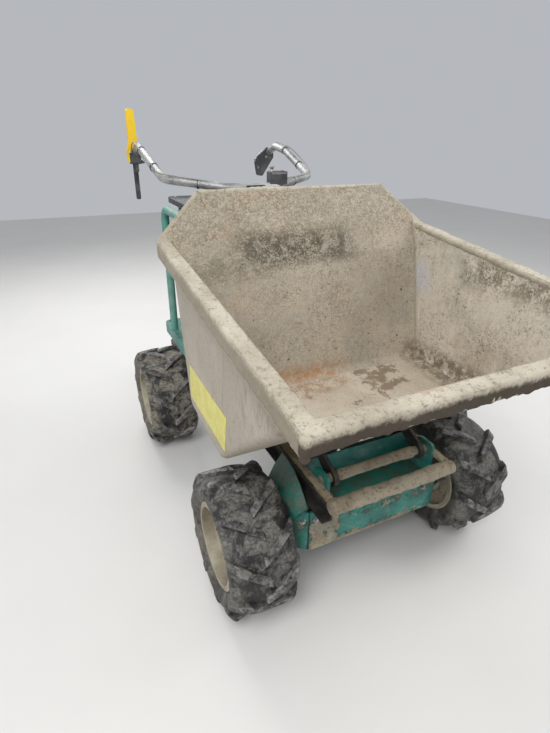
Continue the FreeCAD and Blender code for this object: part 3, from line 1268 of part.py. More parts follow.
def platform_bracket():
    # Plates down from the rails' ends to the hinge pin.
    end = REAR_RAIL_END_Y
    near = 0.6 * HINGE_NOSE_RADIUS
    side = [(end - HINGE_PLATE_LENGTH, RAIL_BOTTOM_Z, 0), (end, RAIL_BOTTOM_Z, 0),
            (end, HINGE_Z + HINGE_THROAT, 0), (HINGE_Y - near, HINGE_Z + near, 0),
            (HINGE_Y, HINGE_Z - 1.5 * near, 0)]
    x0, x1 = REAR_RAIL_X, REAR_RAIL_X + HINGE_PLATE
    nose = across(x0, x1, HINGE_Y, HINGE_Z, HINGE_NOSE_RADIUS)
    plate = fuse([prism(side, in_yz(x0), ACROSS * HINGE_PLATE), nose])
    pin_end = x1 + HINGE_PLATE
    return fuse([plate, mirrored(plate), across(-pin_end, pin_end, HINGE_Y, HINGE_Z, HINGE_RADIUS)])


def tie_downs():
    y = REAR_RAIL_END_Y - TIE_DOWN_LEAD
    top = RAIL_TOP_Z + TIE_DOWN_HEIGHT
    plate = [(y - TIE_DOWN_HALF, RAIL_TOP_Z, 0), (y + TIE_DOWN_HALF, RAIL_TOP_Z, 0),
             (y + TIE_DOWN_HALF, top, TIE_DOWN_RADIUS), (y - TIE_DOWN_HALF, top, TIE_DOWN_RADIUS)]
    x0, x1 = REAR_RAIL_X, REAR_RAIL_X + TIE_DOWN_PLATE
    eye = prism(plate, in_yz(x0), ACROSS * TIE_DOWN_PLATE)
    eye = eye.cut(across(x0 - CUT, x1 + CUT, y, RAIL_TOP_Z + TIE_DOWN_RISE, TIE_DOWN_BORE))
    return Part.makeCompound([eye, mirrored(eye)])


def wheel_copy(shape, side, y):
    placed = shape.copy()
    placed.translate(Vector(WHEEL_X, y, AXLE_Z))
    return on_side(placed, side)


def all_nodes():
    single = (
        tub_shell, tub_cradle, cylinder_barrel, cylinder_rod, cylinder_bracket, frame_crossmembers, front_bumper,
        front_cross_bar, pivot_shaft, pivot_bracket, tub_rests, front_axle_beam, rear_axle_beam, tie_rod,
        steering_column, steering_post, handlebar, handlebar_clamp, console_box, control_box, grip_lever,
        stop_lever, hand_guard, engine_deck, deck_legs, guard_cross_tube, rear_panel, hood, engine_block,
        engine_shroud, muffler, air_cleaner, fuel_tank, hydraulic_pump, hydraulic_tank, platform,
        platform_bracket, tie_downs,
    )
    nodes = {make.__name__: make() for make in single}
    tyre = tyre_ring()
    rim = rim_ring()
    hubs = {"front": hub(True), "rear": hub(False)}
    axles = {"front": 0.0, "rear": WHEELBASE}
    for word, side in SIDES:
        nodes["rail_" + word] = rail(side)
        nodes["drive_motor_" + word] = drive_motor(side)
        nodes["knuckle_" + word] = knuckle(side)
        nodes["engine_guard_" + word] = engine_guard(side)
        for place, y in axles.items():
            name = place + "_" + word
            nodes["tyre_" + name] = wheel_copy(tyre, side, y)
            nodes["rim_" + name] = wheel_copy(rim, side, y)
            nodes["hub_" + name] = wheel_copy(hubs[place], side, y)
    return nodes


os.makedirs("parts", exist_ok=True)
for name, shape in all_nodes().items():
    shape.translate(Vector(0, FRONT_AXLE_Y, 0))
    shape.exportStep("parts/" + name + ".step")
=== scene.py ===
import json
import math

import bmesh
import bpy
from mathutils import Matrix, Vector, noise


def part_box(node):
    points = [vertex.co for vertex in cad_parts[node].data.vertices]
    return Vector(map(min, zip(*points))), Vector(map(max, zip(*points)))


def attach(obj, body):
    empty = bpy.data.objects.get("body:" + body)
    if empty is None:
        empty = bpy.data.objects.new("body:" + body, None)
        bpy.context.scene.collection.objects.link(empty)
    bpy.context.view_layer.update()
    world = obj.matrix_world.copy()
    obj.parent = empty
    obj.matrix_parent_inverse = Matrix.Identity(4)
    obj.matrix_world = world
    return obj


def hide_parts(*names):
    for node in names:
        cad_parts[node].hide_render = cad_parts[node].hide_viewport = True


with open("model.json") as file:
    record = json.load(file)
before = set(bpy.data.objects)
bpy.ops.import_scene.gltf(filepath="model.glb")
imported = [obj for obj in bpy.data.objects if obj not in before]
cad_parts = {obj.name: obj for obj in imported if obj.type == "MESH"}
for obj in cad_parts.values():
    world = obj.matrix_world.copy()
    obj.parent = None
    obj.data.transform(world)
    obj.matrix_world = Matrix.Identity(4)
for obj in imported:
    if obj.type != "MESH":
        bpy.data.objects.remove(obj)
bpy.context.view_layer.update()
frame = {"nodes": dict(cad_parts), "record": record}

# Metres, in the part's frame: +X the operator's left, +Y back to the operator, +Z up.
FRONT_AXLE_Y = -0.623
WHEELBASE = 1.168
SIDES = (("right", -1), ("left", 1))
AXLES = (("front", FRONT_AXLE_Y), ("rear", FRONT_AXLE_Y + WHEELBASE))

# Wheels
WHEEL_X = 0.488
TYRE_RADIUS = 0.264
TYRE_STEPS = 120
LUGS_PER_SIDE = 10
LUG_FIRST_X = -0.008
LUG_LAST_X = 0.121
LUG_TOE_X = -0.012
LUG_SWEEP = 0.096
LUG_HALF_WIDTH = 0.0118
LUG_MEAN_RADIUS = 0.252
RIM_HALF_WIDTH = 0.107
RIM_FLANGE_RADIUS = 0.158
STUDS = 5
STUD_CIRCLE = 0.042
# Columns: x of a lug's row, top radius and root radius.
LUG_PROFILE = (
    (LUG_TOE_X, 0.243, 0.236), (-0.0095, 0.2600, 0.236), (-0.0055, 0.2636, 0.236), (0.02, 0.264, 0.236),
    (0.045, 0.264, 0.236), (0.07, 0.264, 0.236), (0.088, 0.264, 0.234), (0.099, 0.2632, 0.229),
    (0.108, 0.2565, 0.224), (0.117, 0.243, 0.217), (0.1245, 0.229, 0.210), (0.1265, 0.219, 0.203),
    (0.1245, 0.207, 0.198), (0.122, 0.199, 0.195),
)
# Columns: share of a lug's half width, share of its height.
LUG_SECTION = (
    (-1.25, -0.1), (-1.1, 0.4), (-1.0, 0.88), (-0.94, 0.975), (-0.86, 1.0), (-0.3, 1.0), (0.3, 1.0),
    (0.86, 1.0), (0.94, 0.975), (1.0, 0.88), (1.1, 0.4), (1.25, -0.1),
)
# Columns: x of the carcass from its bead to its crown, radius.
CARCASS = (
    (0.101, 0.1475), (0.1015, 0.158), (0.1035, 0.1625), (0.108, 0.1655), (0.1095, 0.170), (0.1125, 0.1735),
    (0.1185, 0.184), (0.1228, 0.195), (0.1248, 0.205), (0.1235, 0.213), (0.118, 0.2205), (0.108, 0.2285),
    (0.096, 0.2355), (0.082, 0.2395), (0.05, 0.2412), (0.02, 0.242),
)

# Tub
TUB_HALF_WIDTH = 0.556
TUB_WALL = 0.008
RIM_HALF = TUB_HALF_WIDTH + 0.036
RIM_DROP = 0.057
LIP_Y = FRONT_AXLE_Y - 0.604
LIP_Z = 1.121
RIM_BACK_Y = FRONT_AXLE_Y + 0.499
RIM_BACK_Z = 1.259
RIM_SLOPE = (RIM_BACK_Z - LIP_Z) / (RIM_BACK_Y - LIP_Y)
BACK_TOP_Y = FRONT_AXLE_Y + 0.575
BACK_TOP_Z = 1.413
BACK_TOP_HALF = 0.413
BACK_LEAN = Vector((0, 0.4430, 0.8965))
BACK_SLOPE = BACK_LEAN.y / BACK_LEAN.z
BACK_INWARD = Vector((0, -0.8965, 0.4430)) * TUB_WALL

# Frame
BUMPER_BACK = -0.15
BUMPER_FOOT_Z = 0.245
RAIL_TOP_Z = 0.52
PAN_LOW_Z = 0.4215
PAN_HIGH_Z = 0.4260
PAN_HALF = 0.232
SLOT_HALF = 0.046
DECK_TOP_Z = 0.700
HOOD_TOP_Z = 1.336
PANEL_BACK_Y = 0.446
PANEL_BOLT_X = 0.33

# The photograph's camera, from its edges' vanishing points and the part's known widths.
CAMERA_PLACE = Vector((-0.942, FRONT_AXLE_Y - 1.198, 1.606))
CAMERA_RIGHT = Vector((0.90231, -0.43090, 0.01281))
CAMERA_DOWN = Vector((-0.18206, -0.40783, -0.89472))
CAMERA_VIEW = Vector((0.39076, 0.80498, -0.44644))
FOCAL_PIXELS = 468.85
PHOTO_HEIGHT = 733
SENSOR = 36.0
FLOOR_HALF = 9.0


def spot(x, back, z):
    """A point whose y is counted from the front axle."""
    return Vector((x, FRONT_AXLE_Y + back, z))


def circle(count):
    """Cosine and sine at even turns."""
    turns = [2 * math.pi * k / count for k in range(count)]
    return [(math.cos(turn), math.sin(turn)) for turn in turns]


def srgb(levels):
    """Linear colour from 8-bit display levels."""
    return tuple(((level / 255 + 0.055) / 1.055) ** 2.4 for level in levels)


# Camera, light and floor
def add_camera():
    data = bpy.data.cameras.new("camera")
    data.sensor_width = SENSOR
    data.lens = FOCAL_PIXELS / PHOTO_HEIGHT * SENSOR
    data.clip_start = 0.05
    camera = bpy.data.objects.new("camera", data)
    turn = Matrix((CAMERA_RIGHT, -CAMERA_DOWN, -CAMERA_VIEW)).transposed()
    camera.matrix_world = Matrix.Translation(CAMERA_PLACE) @ turn.to_4x4()
    bpy.context.scene.collection.objects.link(camera)
    bpy.context.scene.camera = camera


def add_light(name, place, aim, size, power):
    data = bpy.data.lights.new(name, "AREA")
    data.shape = "DISK"
    data.size = size
    data.energy = power
    light = bpy.data.objects.new(name, data)
    light.location = place
    light.rotation_euler = (Vector(aim) - Vector(place)).to_track_quat("-Z", "Y").to_euler()
    bpy.context.scene.collection.objects.link(light)


def add_stage():
    scene = bpy.context.scene
    scene.view_settings.view_transform = "Standard"
    mesh = bpy.data.meshes.new("floor")
    corners = [(x * FLOOR_HALF, y * FLOOR_HALF, 0) for x, y in ((-1, -1), (1, -1), (1, 1), (-1, 1))]
    mesh.from_pydata(corners, [], [(0, 1, 2, 3)])
    floor = bpy.data.objects.new("floor", mesh)
    scene.collection.objects.link(floor)
    shade = Shade("floor_pale", 0.85)
    floor.data.materials.append(shade.done(shade.mix(shade.noise(1.5), (226, 224, 220), (216, 214, 210))))
    world = bpy.data.worlds.new("studio")
    world.use_nodes = True
    background = world.node_tree.nodes["Background"]
    background.inputs["Color"].default_value = (0.62, 0.64, 0.68, 1)
    background.inputs["Strength"].default_value = 0.75
    scene.world = world
    # Columns: name, place, aim, diameter and power.
    lights = (
        ("key", (-2.2, -2.6, 4.2), (0, 0, 0.5), 2.6, 150),
        ("fill", (3.2, -1.2, 3.4), (0, 0, 0.6), 2.4, 70),
        ("back", (-0.6, 3.4, 3.6), (0, 0.3, 0.8), 2.4, 90),
    )
    for row in lights:
        add_light(*row)


# Materials
class Field:
    """A value that varies over a surface, with arithmetic that adds its nodes."""

    def __init__(self, shade, socket):
        self.shade = shade
        self.socket = socket

    def __add__(self, other):
        return self.shade.math("ADD", self, other)

    def __sub__(self, other):
        return self.shade.math("SUBTRACT", self, other)

    def __rsub__(self, other):
        return self.shade.math("SUBTRACT", other, self)

    def __mul__(self, other):
        return self.shade.math("MULTIPLY", self, other)

    def __abs__(self):
        return self.shade.math("ABSOLUTE", self)

    def ramp(self, low, high, start=0.0, end=1.0):
        """Start at low, end at high, and a smooth step between them. Low may be above high."""
        inputs = {"Value": self, "From Min": low, "From Max": high, "To Min": start, "To Max": end}
        node = self.shade.node("ShaderNodeMapRange", inputs, interpolation_type="SMOOTHSTEP")
        return Field(self.shade, node.outputs["Result"])

    def near(self, middle, half, soft):
        """1 within half of the middle, falling to 0 over soft."""
        return abs(self - middle).ramp(half, half + soft, 1.0, 0.0)


class Shade:
    """A Principled material with helpers that add and link nodes. Colours are 8-bit display levels."""

    def __init__(self, name, roughness, metallic=0.0):
        self.material = bpy.data.materials.new(name)
        self.material.use_nodes = True
        self.tree = self.material.node_tree
        self.shader = self.tree.nodes["Principled BSDF"]
        self.shader.inputs["Roughness"].default_value = roughness
        self.shader.inputs["Metallic"].default_value = metallic
        coordinates = self.node("ShaderNodeTexCoord", {})
        self.place = Field(self, coordinates.outputs["Object"])
        self.x, self.y, self.z = self.split(self.place)
        self.nx, self.ny, self.nz = self.split(Field(self, coordinates.outputs["Normal"]))

    def put(self, socket, value):
        if isinstance(value, Field):
            self.tree.links.new(value.socket, socket)
        elif socket.type == "RGBA":
            socket.default_value = (*srgb(value), 1)
        else:
            socket.default_value = value

    def node(self, kind, inputs, **settings):
        """A node with its settings, and its inputs by name or number."""
        node = self.tree.nodes.new(kind)
        for key, value in settings.items():
            setattr(node, key, value)
        for key, value in inputs.items():
            self.put(node.inputs[key], value)
        return node

    def split(self, vector):
        return [Field(self, part) for part in self.node("ShaderNodeSeparateXYZ", {0: vector}).outputs]

    def math(self, kind, a, b=0.0):
        return Field(self, self.node("ShaderNodeMath", {0: a, 1: b}, operation=kind).outputs[0])

    def noise(self, scale, detail=4.0, rough=0.6, at=None, distortion=0.0):
        inputs = {"Vector": at or self.place, "Scale": scale, "Detail": detail, "Roughness": rough,
                  "Distortion": distortion}
        return Field(self, self.node("ShaderNodeTexNoise", inputs).outputs["Fac"])

    def stretch(self, x, y, z):
        """The place with each axis scaled, for noise that runs along one of them."""
        node = self.node("ShaderNodeVectorMath", {0: self.place, 1: (x, y, z)}, operation="MULTIPLY")
        return Field(self, node.outputs["Vector"])

    def mix(self, share, under, over):
        node = self.node("ShaderNodeMix", {}, data_type="RGBA")
        for key, value in (("Factor", share), (6, under), (7, over)):
            self.put(node.inputs[key], value)
        return Field(self, node.outputs[2])

    def layers(self, color, *rows):
        """A colour under layers, the lowest first. Columns: share of the surface, colour."""
        for share, over in rows:
            color = self.mix(share, color, over)
        return color

    def done(self, color, height=None, relief=0.0, roughness=None):
        """The material with its colour, and its relief in metres where there is one."""
        self.put(self.shader.inputs["Base Color"], color)
        if roughness is not None:
            self.put(self.shader.inputs["Roughness"], roughness)
        if height is not None:
            bump = self.node("ShaderNodeBump", {"Distance": relief, "Strength": 1.0, "Height": height})
            self.put(self.shader.inputs["Normal"], Field(self, bump.outputs["Normal"]))
        return self.material


# Columns: name, paint, worn and dust colour, roughness, metal, dust, grain, relief and rust.
PAINTS = (
    ("teal_paint", (30, 134, 122), (12, 88, 82), (134, 162, 148), 0.42, 0.0, 1.0, 60, 0.0006, 0.35),
    ("scuffed_paint", (28, 128, 118), (12, 88, 82), (172, 190, 182), 0.4, 0.0, 0.7, 110, 0.0006, 0.2),
    ("guard_paint", (58, 142, 128), (30, 112, 102), (176, 186, 172), 0.5, 0.0, 1.15, 60, 0.0006, 0.2),
    ("dark_steel", (56, 54, 52), (26, 26, 28), (118, 112, 100), 0.55, 0.2, 0.8, 60, 0.0006, 0.3),
    ("bright_steel", (178, 178, 180), (110, 108, 104), (172, 160, 138), 0.32, 0.9, 0.4, 60, 0.0006, 0.0),
    ("engine_casting", (128, 128, 130), (70, 70, 72), (172, 160, 138), 0.5, 0.6, 0.5, 60, 0.0006, 0.0),
    ("dark_plastic", (62, 64, 68), (40, 41, 44), (118, 116, 112), 0.5, 0.0, 0.5, 60, 0.0006, 0.0),
    ("yellow_plastic", (240, 202, 40), (228, 184, 34), (226, 200, 110), 0.35, 0.0, 0.1, 60, 0.0002, 0.0),
    ("bar_paint", (184, 186, 184), (98, 98, 96), (196, 194, 184), 0.4, 0.3, 0.5, 50, 0.0012, 0.0),
    ("rim_paint", (186, 179, 158), (118, 108, 88), (148, 138, 116), 0.5, 0.0, 0.75, 60, 0.0006, 0.25),
    ("black_rubber", (44, 44, 45), (26, 26, 28), (150, 146, 138), 0.7, 0.0, 0.5, 60, 0.0006, 0.0),
    ("cable_sleeve", (168, 168, 164), (96, 94, 90), (150, 146, 138), 0.55, 0.0, 0.5, 60, 0.0006, 0.0),
)
RUST = (150, 84, 38)
# Nodes that look different from the rest of their slot.
SPECIAL_NODES = {
    "front_bumper": "bumper_paint", "rail_right": "rail_steel", "rail_left": "rail_steel",
    "engine_guard_right": "guard_paint", "engine_guard_left": "guard_paint",
    "guard_cross_tube": "guard_paint", "pivot_bracket": "scuffed_paint", "hand_guard": "dark_plastic",
}


def dusty(name, paint, worn, dust, roughness, metal, dust_amount, grain, relief, rust_amount):
    """Paint or plastic with darker wear, pale dust in patches and on top faces, and a grainy surface."""
    shade = Shade(name, roughness, metal)
    speck = shade.noise(grain * 2.4, 3.0, 0.7)
    wear = shade.noise(5.0, 6.0, 0.65).ramp(0.35, 0.7)
    color = shade.layers(paint, (wear, worn), (speck.ramp(0.62, 0.7), worn))
    if rust_amount:
        rust = shade.noise(16.0, 8.0, 0.75, distortion=0.4).ramp(0.72 - 0.2 * rust_amount, 0.78)
        color = shade.mix(rust, color, RUST)
    patch = shade.noise(9.0, 8.0, 0.7).ramp(0.62 - 0.3 * dust_amount, 0.72)
    share = patch * (shade.nz.ramp(0.1, 0.95) * 0.55 + 0.35)
    color = shade.mix(share, color, dust)
    return shade.done(color, speck + patch, relief, share.ramp(0.0, 1.0, roughness, 0.9))


def crust_look(shade, pale, middle, dark):
    """Dried cement: finely speckled, with dark specks and pits. Returns its colour and height."""
    clump = shade.noise(48.0, 6.0, 0.75)
    grain = shade.noise(150.0, 5.0, 0.75)
    grit = clump * 0.5 + grain * 0.5
    color = shade.layers(
        pale,
        (shade.noise(5.0, 4.0, 0.6).ramp(0.38, 0.64), middle),
        (grit.ramp(0.51, 0.6) * 0.6, dark),
        (grit.ramp(0.47, 0.39) * 0.5, pale))
    return color, clump * 0.6 + grain * 0.5


def rim_crust_material():
    """Cream cement on the rim; it is dark brown and wet along the lip's lower edge, and its outer sides carry
    painted shade.
    """
    shade = Shade("dried_cement", 0.92)
    color, height = crust_look(shade, (192, 184, 166), (166, 157, 138), (98, 88, 70))
    depth = (shade.y - LIP_Y) * RIM_SLOPE + LIP_Z - shade.z
    ragged = depth + (shade.noise(28.0, 8.0, 0.75) - 0.5) * 0.045
    front = shade.y.ramp(LIP_Y + 0.03, LIP_Y + 0.012)
    color = shade.layers(
        color,
        (ragged.ramp(0.006, 0.02) * front * 0.95, (64, 53, 42)),
        # Painted shade: the rim's outer faces are greyer and darker below their top.
        (ragged.ramp(0.0, 0.022) * shade.y.ramp(-0.2, -1.1, 0.6, 0.85) * (1.0 - front), (142, 132, 114)))
    return shade.done(color, height, 0.0045)


def frame_crust_material():
    """Browner cement on the bars and rails, with rust showing through."""
    shade = Shade("crusted_steel", 0.9)
    color, height = crust_look(shade, (172, 161, 140), (128, 116, 96), (56, 48, 38))
    rust = shade.noise(24.0, 8.0, 0.75, distortion=0.5).ramp(0.6, 0.72)
    return shade.done(shade.mix(rust * 0.45, color, (126, 86, 56)), height, 0.005)


def rail_material():
    """Dark steel channel; its top is caked along the web and black towards the open side, the black there being
    painted shade for the channel's shadowed hollow.
    """
    shade = Shade("rail_steel", 0.75)
    cement, height = crust_look(shade, (168, 154, 118), (132, 118, 84), (70, 60, 44))
    steel = shade.mix(shade.noise(20.0, 8.0, 0.75).ramp(0.4, 0.65), (34, 34, 32), (66, 62, 54))
    across = abs(shade.x) + (shade.noise(22.0, 6.0, 0.7) - 0.5) * 0.02
    # Painted shade: where the top is not caked it stays black, standing in for the channel's shadowed hollow.
    caked = across.ramp(0.270, 0.264) * shade.z.ramp(0.508, 0.516) * shade.y.ramp(-0.1, -0.35, 0.35, 1.0)
    return shade.done(shade.mix(caked, steel, cement), height, 0.003)


def bumper_material():
    """Teal front plate: scuffs, a weld seam, fine cement scabs low down and at its right corner."""
    shade = Shade("bumper_paint", 0.42)
    x, y, z = shade.x, shade.y, shade.z
    front = y.ramp(FRONT_AXLE_Y - 0.10, FRONT_AXLE_Y - 0.14)
    dust = shade.noise(26.0, 9.0, 0.8, distortion=0.3).ramp(0.47, 0.62)
    soil = shade.noise(12.0, 9.0, 0.8).ramp(0.4, 0.58) * (1.0 - front)
    torn = shade.noise(17.0, 9.0, 0.78, distortion=0.4) * 0.7 + shade.noise(120.0, 6.0, 0.8) * 0.3
    # Scabs gather along the lower edge, along a line above it and at the corner.
    torn = torn + z.ramp(0.30, 0.25, 0.0, 0.12) + z.near(0.352, 0.008, 0.05) * 0.1
    torn = torn + x.near(-0.225, 0.04, 0.035) * z.ramp(0.39, 0.35) * 0.17
    scab = torn.ramp(0.6, 0.68) * front.ramp(0.0, 1.0, 0.4, 1.0)
    cement, height = crust_look(shade, (180, 170, 152), (146, 134, 116), (98, 84, 66))
    seam = x.near(-0.287, 0.0012, 0.0018) * front
    color = shade.layers(
        (34, 140, 126),
        (shade.noise(6.0, 5.0, 0.6).ramp(0.35, 0.68), (16, 96, 88)),
        (dust * 0.45, (112, 146, 132)),
        (soil * 0.7, (112, 108, 92)),
        (scab * 0.85, cement),
        (shade.noise(34.0, 8.0, 0.78).ramp(0.64, 0.72) * 0.7, (134, 92, 60)),
        (seam * 0.9, (12, 40, 38)))
    raised = scab * (height + 0.6) + seam * -1.0 + dust * 0.1
    return shade.done(color, raised, 0.0035, scab.ramp(0.0, 1.0, 0.4, 0.9))


def tub_outside(shade, grit):
    """Light grey plastic with sparse dark flecks, faint runs below the rim and grime to the front."""
    y, z = shade.y, shade.z
    run = shade.noise(1.0, 8.0, 0.78, at=shade.stretch(60, 60, 11), distortion=0.3)
    soiled = shade.noise(5.0, 8.0, 0.72).ramp(0.4, 0.62, 0.3, 1.0)
    fleck = shade.noise(70.0, 5.0, 0.8, at=shade.stretch(1, 1, 0.3))
    fleck = fleck + z.ramp(1.0, 1.17, 0.0, 0.035) + y.ramp(-0.6, -1.1, 0.0, 0.045)
    grime = shade.noise(14.0, 9.0, 0.78).ramp(0.46, 0.62) * y.ramp(-0.75, -1.1)
    return shade.layers(
        (182, 172, 157),
        (shade.noise(2.6, 4.0, 0.5).ramp(0.35, 0.7), (165, 155, 139)),
        (run.ramp(0.5, 0.62) * y.ramp(-0.2, -0.9, 0.3, 0.6), (134, 123, 104)),
        (grit.ramp(0.5, 0.59) * soiled * 0.5, (130, 119, 100)),
        (fleck.ramp(0.655, 0.7) * 0.85, (86, 77, 64)),
        (grime * 0.7, (130, 118, 97)))


def tub_walls(shade, grit, torn):
    """Beige cement film, finely speckled, with clouds and soft runs; each wall has its own dirt, painted light
    makes the left wall paler and painted shade darkens the rounded corners.
    """
    x, y, z = shade.x, shade.y, shade.z
    left_wall = x.ramp(0.52, 0.54) * shade.nx.ramp(-0.6, -0.85)
    warm = shade.noise(5.5, 5.0, 0.6).ramp(0.48, 0.66)
    cool = shade.noise(4.2, 5.0, 0.6, at=shade.stretch(1, 1.3, 1.7)).ramp(0.5, 0.68)
    streak = shade.noise(1.0, 6.0, 0.7, at=shade.stretch(30, 30, 3.4))
    density = shade.noise(7.0, 6.0, 0.7).ramp(0.38, 0.6, 0.2, 1.0)
    crack = shade.noise(75.0, 6.0, 0.74, distortion=1.3)
    fine = shade.noise(250.0, 3.0, 0.7)
    color = shade.layers(
        (182, 171, 153),
        (shade.noise(2.4, 3.0, 0.5).ramp(0.35, 0.65), (160, 150, 133)),
        # Painted light: the left wall is made paler, standing in for the light that falls on it.
        (left_wall * 0.9, (220, 211, 195)),
        (warm * 0.45, (170, 150, 126)),
        (cool * 0.45, (158, 156, 146)),
        (streak.ramp(0.5, 0.7) * 0.3, (138, 129, 110)),
        (density * grit.ramp(0.5, 0.58) * 0.5, (122, 112, 92)),
        (density * crack.ramp(0.55, 0.61) * 0.75, (88, 79, 61)),
        (density * fine.ramp(0.55, 0.66) * 0.5, (106, 97, 78)),
        (grit.ramp(0.46, 0.4) * 0.35, (206, 198, 182)))
    # Back wall: a dark band under the fold, dirtier above it; sparse black nicks lower down.
    back_wall = y.ramp(-0.30, -0.27)
    band = z.near(1.2, 0.03, 0.06) * back_wall * x.near(-0.05, 0.18, 0.14)
    trail = z.near(1.15, 0.02, 0.06) * back_wall * x.near(-0.32, 0.1, 0.12)
    above = z.ramp(1.2, 1.26) * back_wall
    nick = shade.noise(36.0, 4.0, 0.6).ramp(0.68, 0.71) * back_wall * z.ramp(1.1, 1.0)
    # Left wall: dark scuffs high up towards the front, and a bluish damp patch by the back corner.
    scuffs = z.near(1.13, 0.02, 0.07) * left_wall * y.near(-0.7, 0.14, 0.16)
    damp = z.near(1.03, 0.03, 0.07) * left_wall * y.near(-0.25, 0.03, 0.05)
    damp = damp * shade.noise(18.0, 6.0, 0.7).ramp(0.35, 0.55)
    # The walls' rounded corners are darkened: painted shade against the key light's brightening of them, and
    # partly dirt.
    turned = abs(shade.nx)
    corner = turned.ramp(0.08, 0.35) * turned.ramp(0.99, 0.9) * y.ramp(-0.36, -0.3)
    return shade.layers(
        color,
        (band * 0.25, (92, 86, 70)),
        (band * torn * 0.92, (70, 64, 50)),
        (trail * torn * 0.5, (98, 94, 76)),
        (above * grit.ramp(0.47, 0.56) * 0.55, (120, 108, 84)),
        (nick * 0.9, (64, 56, 42)),
        (scuffs * torn * 0.75, (100, 92, 74)),
        (damp * 0.55, (196, 200, 212)),
        (corner * 0.4, (118, 109, 92)))


def tub_floor(shade, walls, clump, grit, torn):
    """Paler and smoother than the walls, with brown stains and a rusty line along its back edge."""
    x, y, z = shade.x, shade.y, shade.z
    floor = shade.nz.ramp(0.93, 0.985) * z.ramp(0.74, 0.69)
    stain = shade.noise(9.0, 8.0, 0.72, distortion=0.5)
    stain = stain + x.near(0.27, 0.05, 0.12) * y.near(-0.4, 0.05, 0.1) * 0.16
    bed = shade.layers(
        (208, 196, 177),
        (shade.noise(5.0, 6.0, 0.6).ramp(0.35, 0.65), (190, 177, 157)),
        (grit.ramp(0.52, 0.6) * 0.4, (134, 120, 100)),
        (stain.ramp(0.6, 0.65) * 0.8, (120, 98, 74)))
    line = y.near(-0.288, 0.006, 0.028) * x.near(-0.06, 0.14, 0.12) * z.ramp(0.76, 0.68)
    rust = shade.noise(24.0, 9.0, 0.8, distortion=0.3).ramp(0.42, 0.56, 0.1, 1.0)
    beside_line = floor * y.near(-0.36, 0.03, 0.05) * x.near(-0.02, 0.1, 0.14) * torn
    gritty = x.near(-0.22, 0.08, 0.14) * y.near(-0.72, 0.06, 0.1) * clump.ramp(0.49, 0.56)
    corner = x.near(0.53, 0.03, 0.07) * z.ramp(0.77, 0.7) * shade.noise(26.0, 8.0, 0.75).ramp(0.4, 0.54)
    return shade.layers(
        walls,
        (floor * 0.9, bed),
        (line * rust * 0.8, (166, 112, 62)),
        (beside_line * 0.6, (140, 104, 70)),
        (gritty * 0.8, (98, 94, 80)),
        (corner * 0.8, (104, 90, 70)))


def tub_material():
    """Grey moulded plastic outside; inside it is stained and caked by its loads."""
    shade = Shade("tub", 0.6)
    clump = shade.noise(44.0, 6.0, 0.75, distortion=0.2)
    grain = shade.noise(125.0, 5.0, 0.75)
    grit = clump * 0.33 + grain * 0.67
    torn = (shade.noise(16.0, 9.0, 0.8, distortion=0.4) * 0.6 + grain * 0.4).ramp(0.43, 0.55)
    # The outer skin's normals point down or away from the middle.
    toward_middle = shade.nx * shade.math("SIGN", shade.x) * -1.0
    is_inside = shade.math("MAXIMUM", shade.nz, toward_middle).ramp(0.0, 0.06)
    is_inside = is_inside * abs(shade.x).ramp(0.5525, 0.5535, 1.0, 0.0)
    inside = tub_floor(shade, tub_walls(shade, grit, torn), clump, grit, torn)
    color = shade.mix(is_inside, tub_outside(shade, grit), inside)
    height = (clump * 0.7 + grain * 0.5) * is_inside + grain * 0.1
    return shade.done(color, height, 0.0035, is_inside.ramp(0.0, 1.0, 0.5, 0.8))


def tyre_material(name, dust, amount):
    """Black rubber in local wheel coordinates: worn lug tops, pale lug edges as painted highlight and wear,
    cement between the lugs.
    """
    shade = Shade(name, 0.72)
    radius = shade.math("SQRT", shade.y * shade.y + shade.z * shade.z)
    groove = radius.ramp(0.262, 0.246)
    fine = shade.noise(95.0, 6.0, 0.8)
    smear = shade.noise(10.0, 9.0, 0.78, distortion=0.5).ramp(0.43, 0.58)
    smear = smear * groove.ramp(0.0, 1.0, 0.28, 0.95) * fine.ramp(0.4, 0.6, 0.35, 1.0) * amount
    side = radius.ramp(0.225, 0.205) * shade.noise(15.0, 8.0, 0.75).ramp(0.38, 0.6)
    # Painted highlight, with wear: pale edges along the lug tops.
    edge = radius.near(0.2590, 0.0035, 0.003) * shade.noise(30.0, 7.0, 0.75).ramp(0.42, 0.58)
    clod = shade.noise(22.0, 9.0, 0.8, distortion=0.5).ramp(0.6, 0.68)
    color = shade.layers(
        (38, 37, 37),
        (shade.noise(9.0, 6.0, 0.7).ramp(0.35, 0.7), (20, 20, 21)),
        (smear, dust),
        (side * 0.5 * amount, (118, 112, 100)),
        (edge * 0.75, (158, 156, 150)),
        (clod * groove * 0.75, (114, 102, 84)))
    return shade.done(color, fine + clod * 1.2, 0.0022, smear.ramp(0.0, 0.8, 0.55, 0.92))


def label_material():
    """Scratched yellow film."""
    shade = Shade("yellow_label", 0.45)
    color = shade.layers(
        (222, 214, 118),
        (shade.noise(14.0, 6.0, 0.7).ramp(0.35, 0.7), (206, 196, 96)),
        (shade.noise(60.0, 6.0, 0.8).ramp(0.56, 0.66) * 0.6, (150, 140, 92)))
    return shade.done(color, shade.noise(160.0, 3.0, 0.6), 0.0004)


def base_materials():
    materials = {
        "tub_plastic": tub_material(),
        "bumper_paint": bumper_material(),
        "crusted_steel": frame_crust_material(),
        "rail_steel": rail_material(),
        "tyre_rubber": tyre_material("tyre_rubber", (142, 139, 131), 0.85),
        "dusty_rubber": tyre_material("dusty_rubber", (146, 139, 126), 1.25),
        "dried_cement": rim_crust_material(),
        "yellow_label": label_material(),
    }
    for row in PAINTS:
        materials[row[0]] = dusty(*row)
    return materials


def dress_nodes():
    slots = {row["node"]: row["material_slot"] for row in frame["record"]["subparts"]}
    for name, node in frame["nodes"].items():
        node.data.materials.clear()
        node.data.materials.append(MATERIALS[SPECIAL_NODES.get(name, slots[name])])


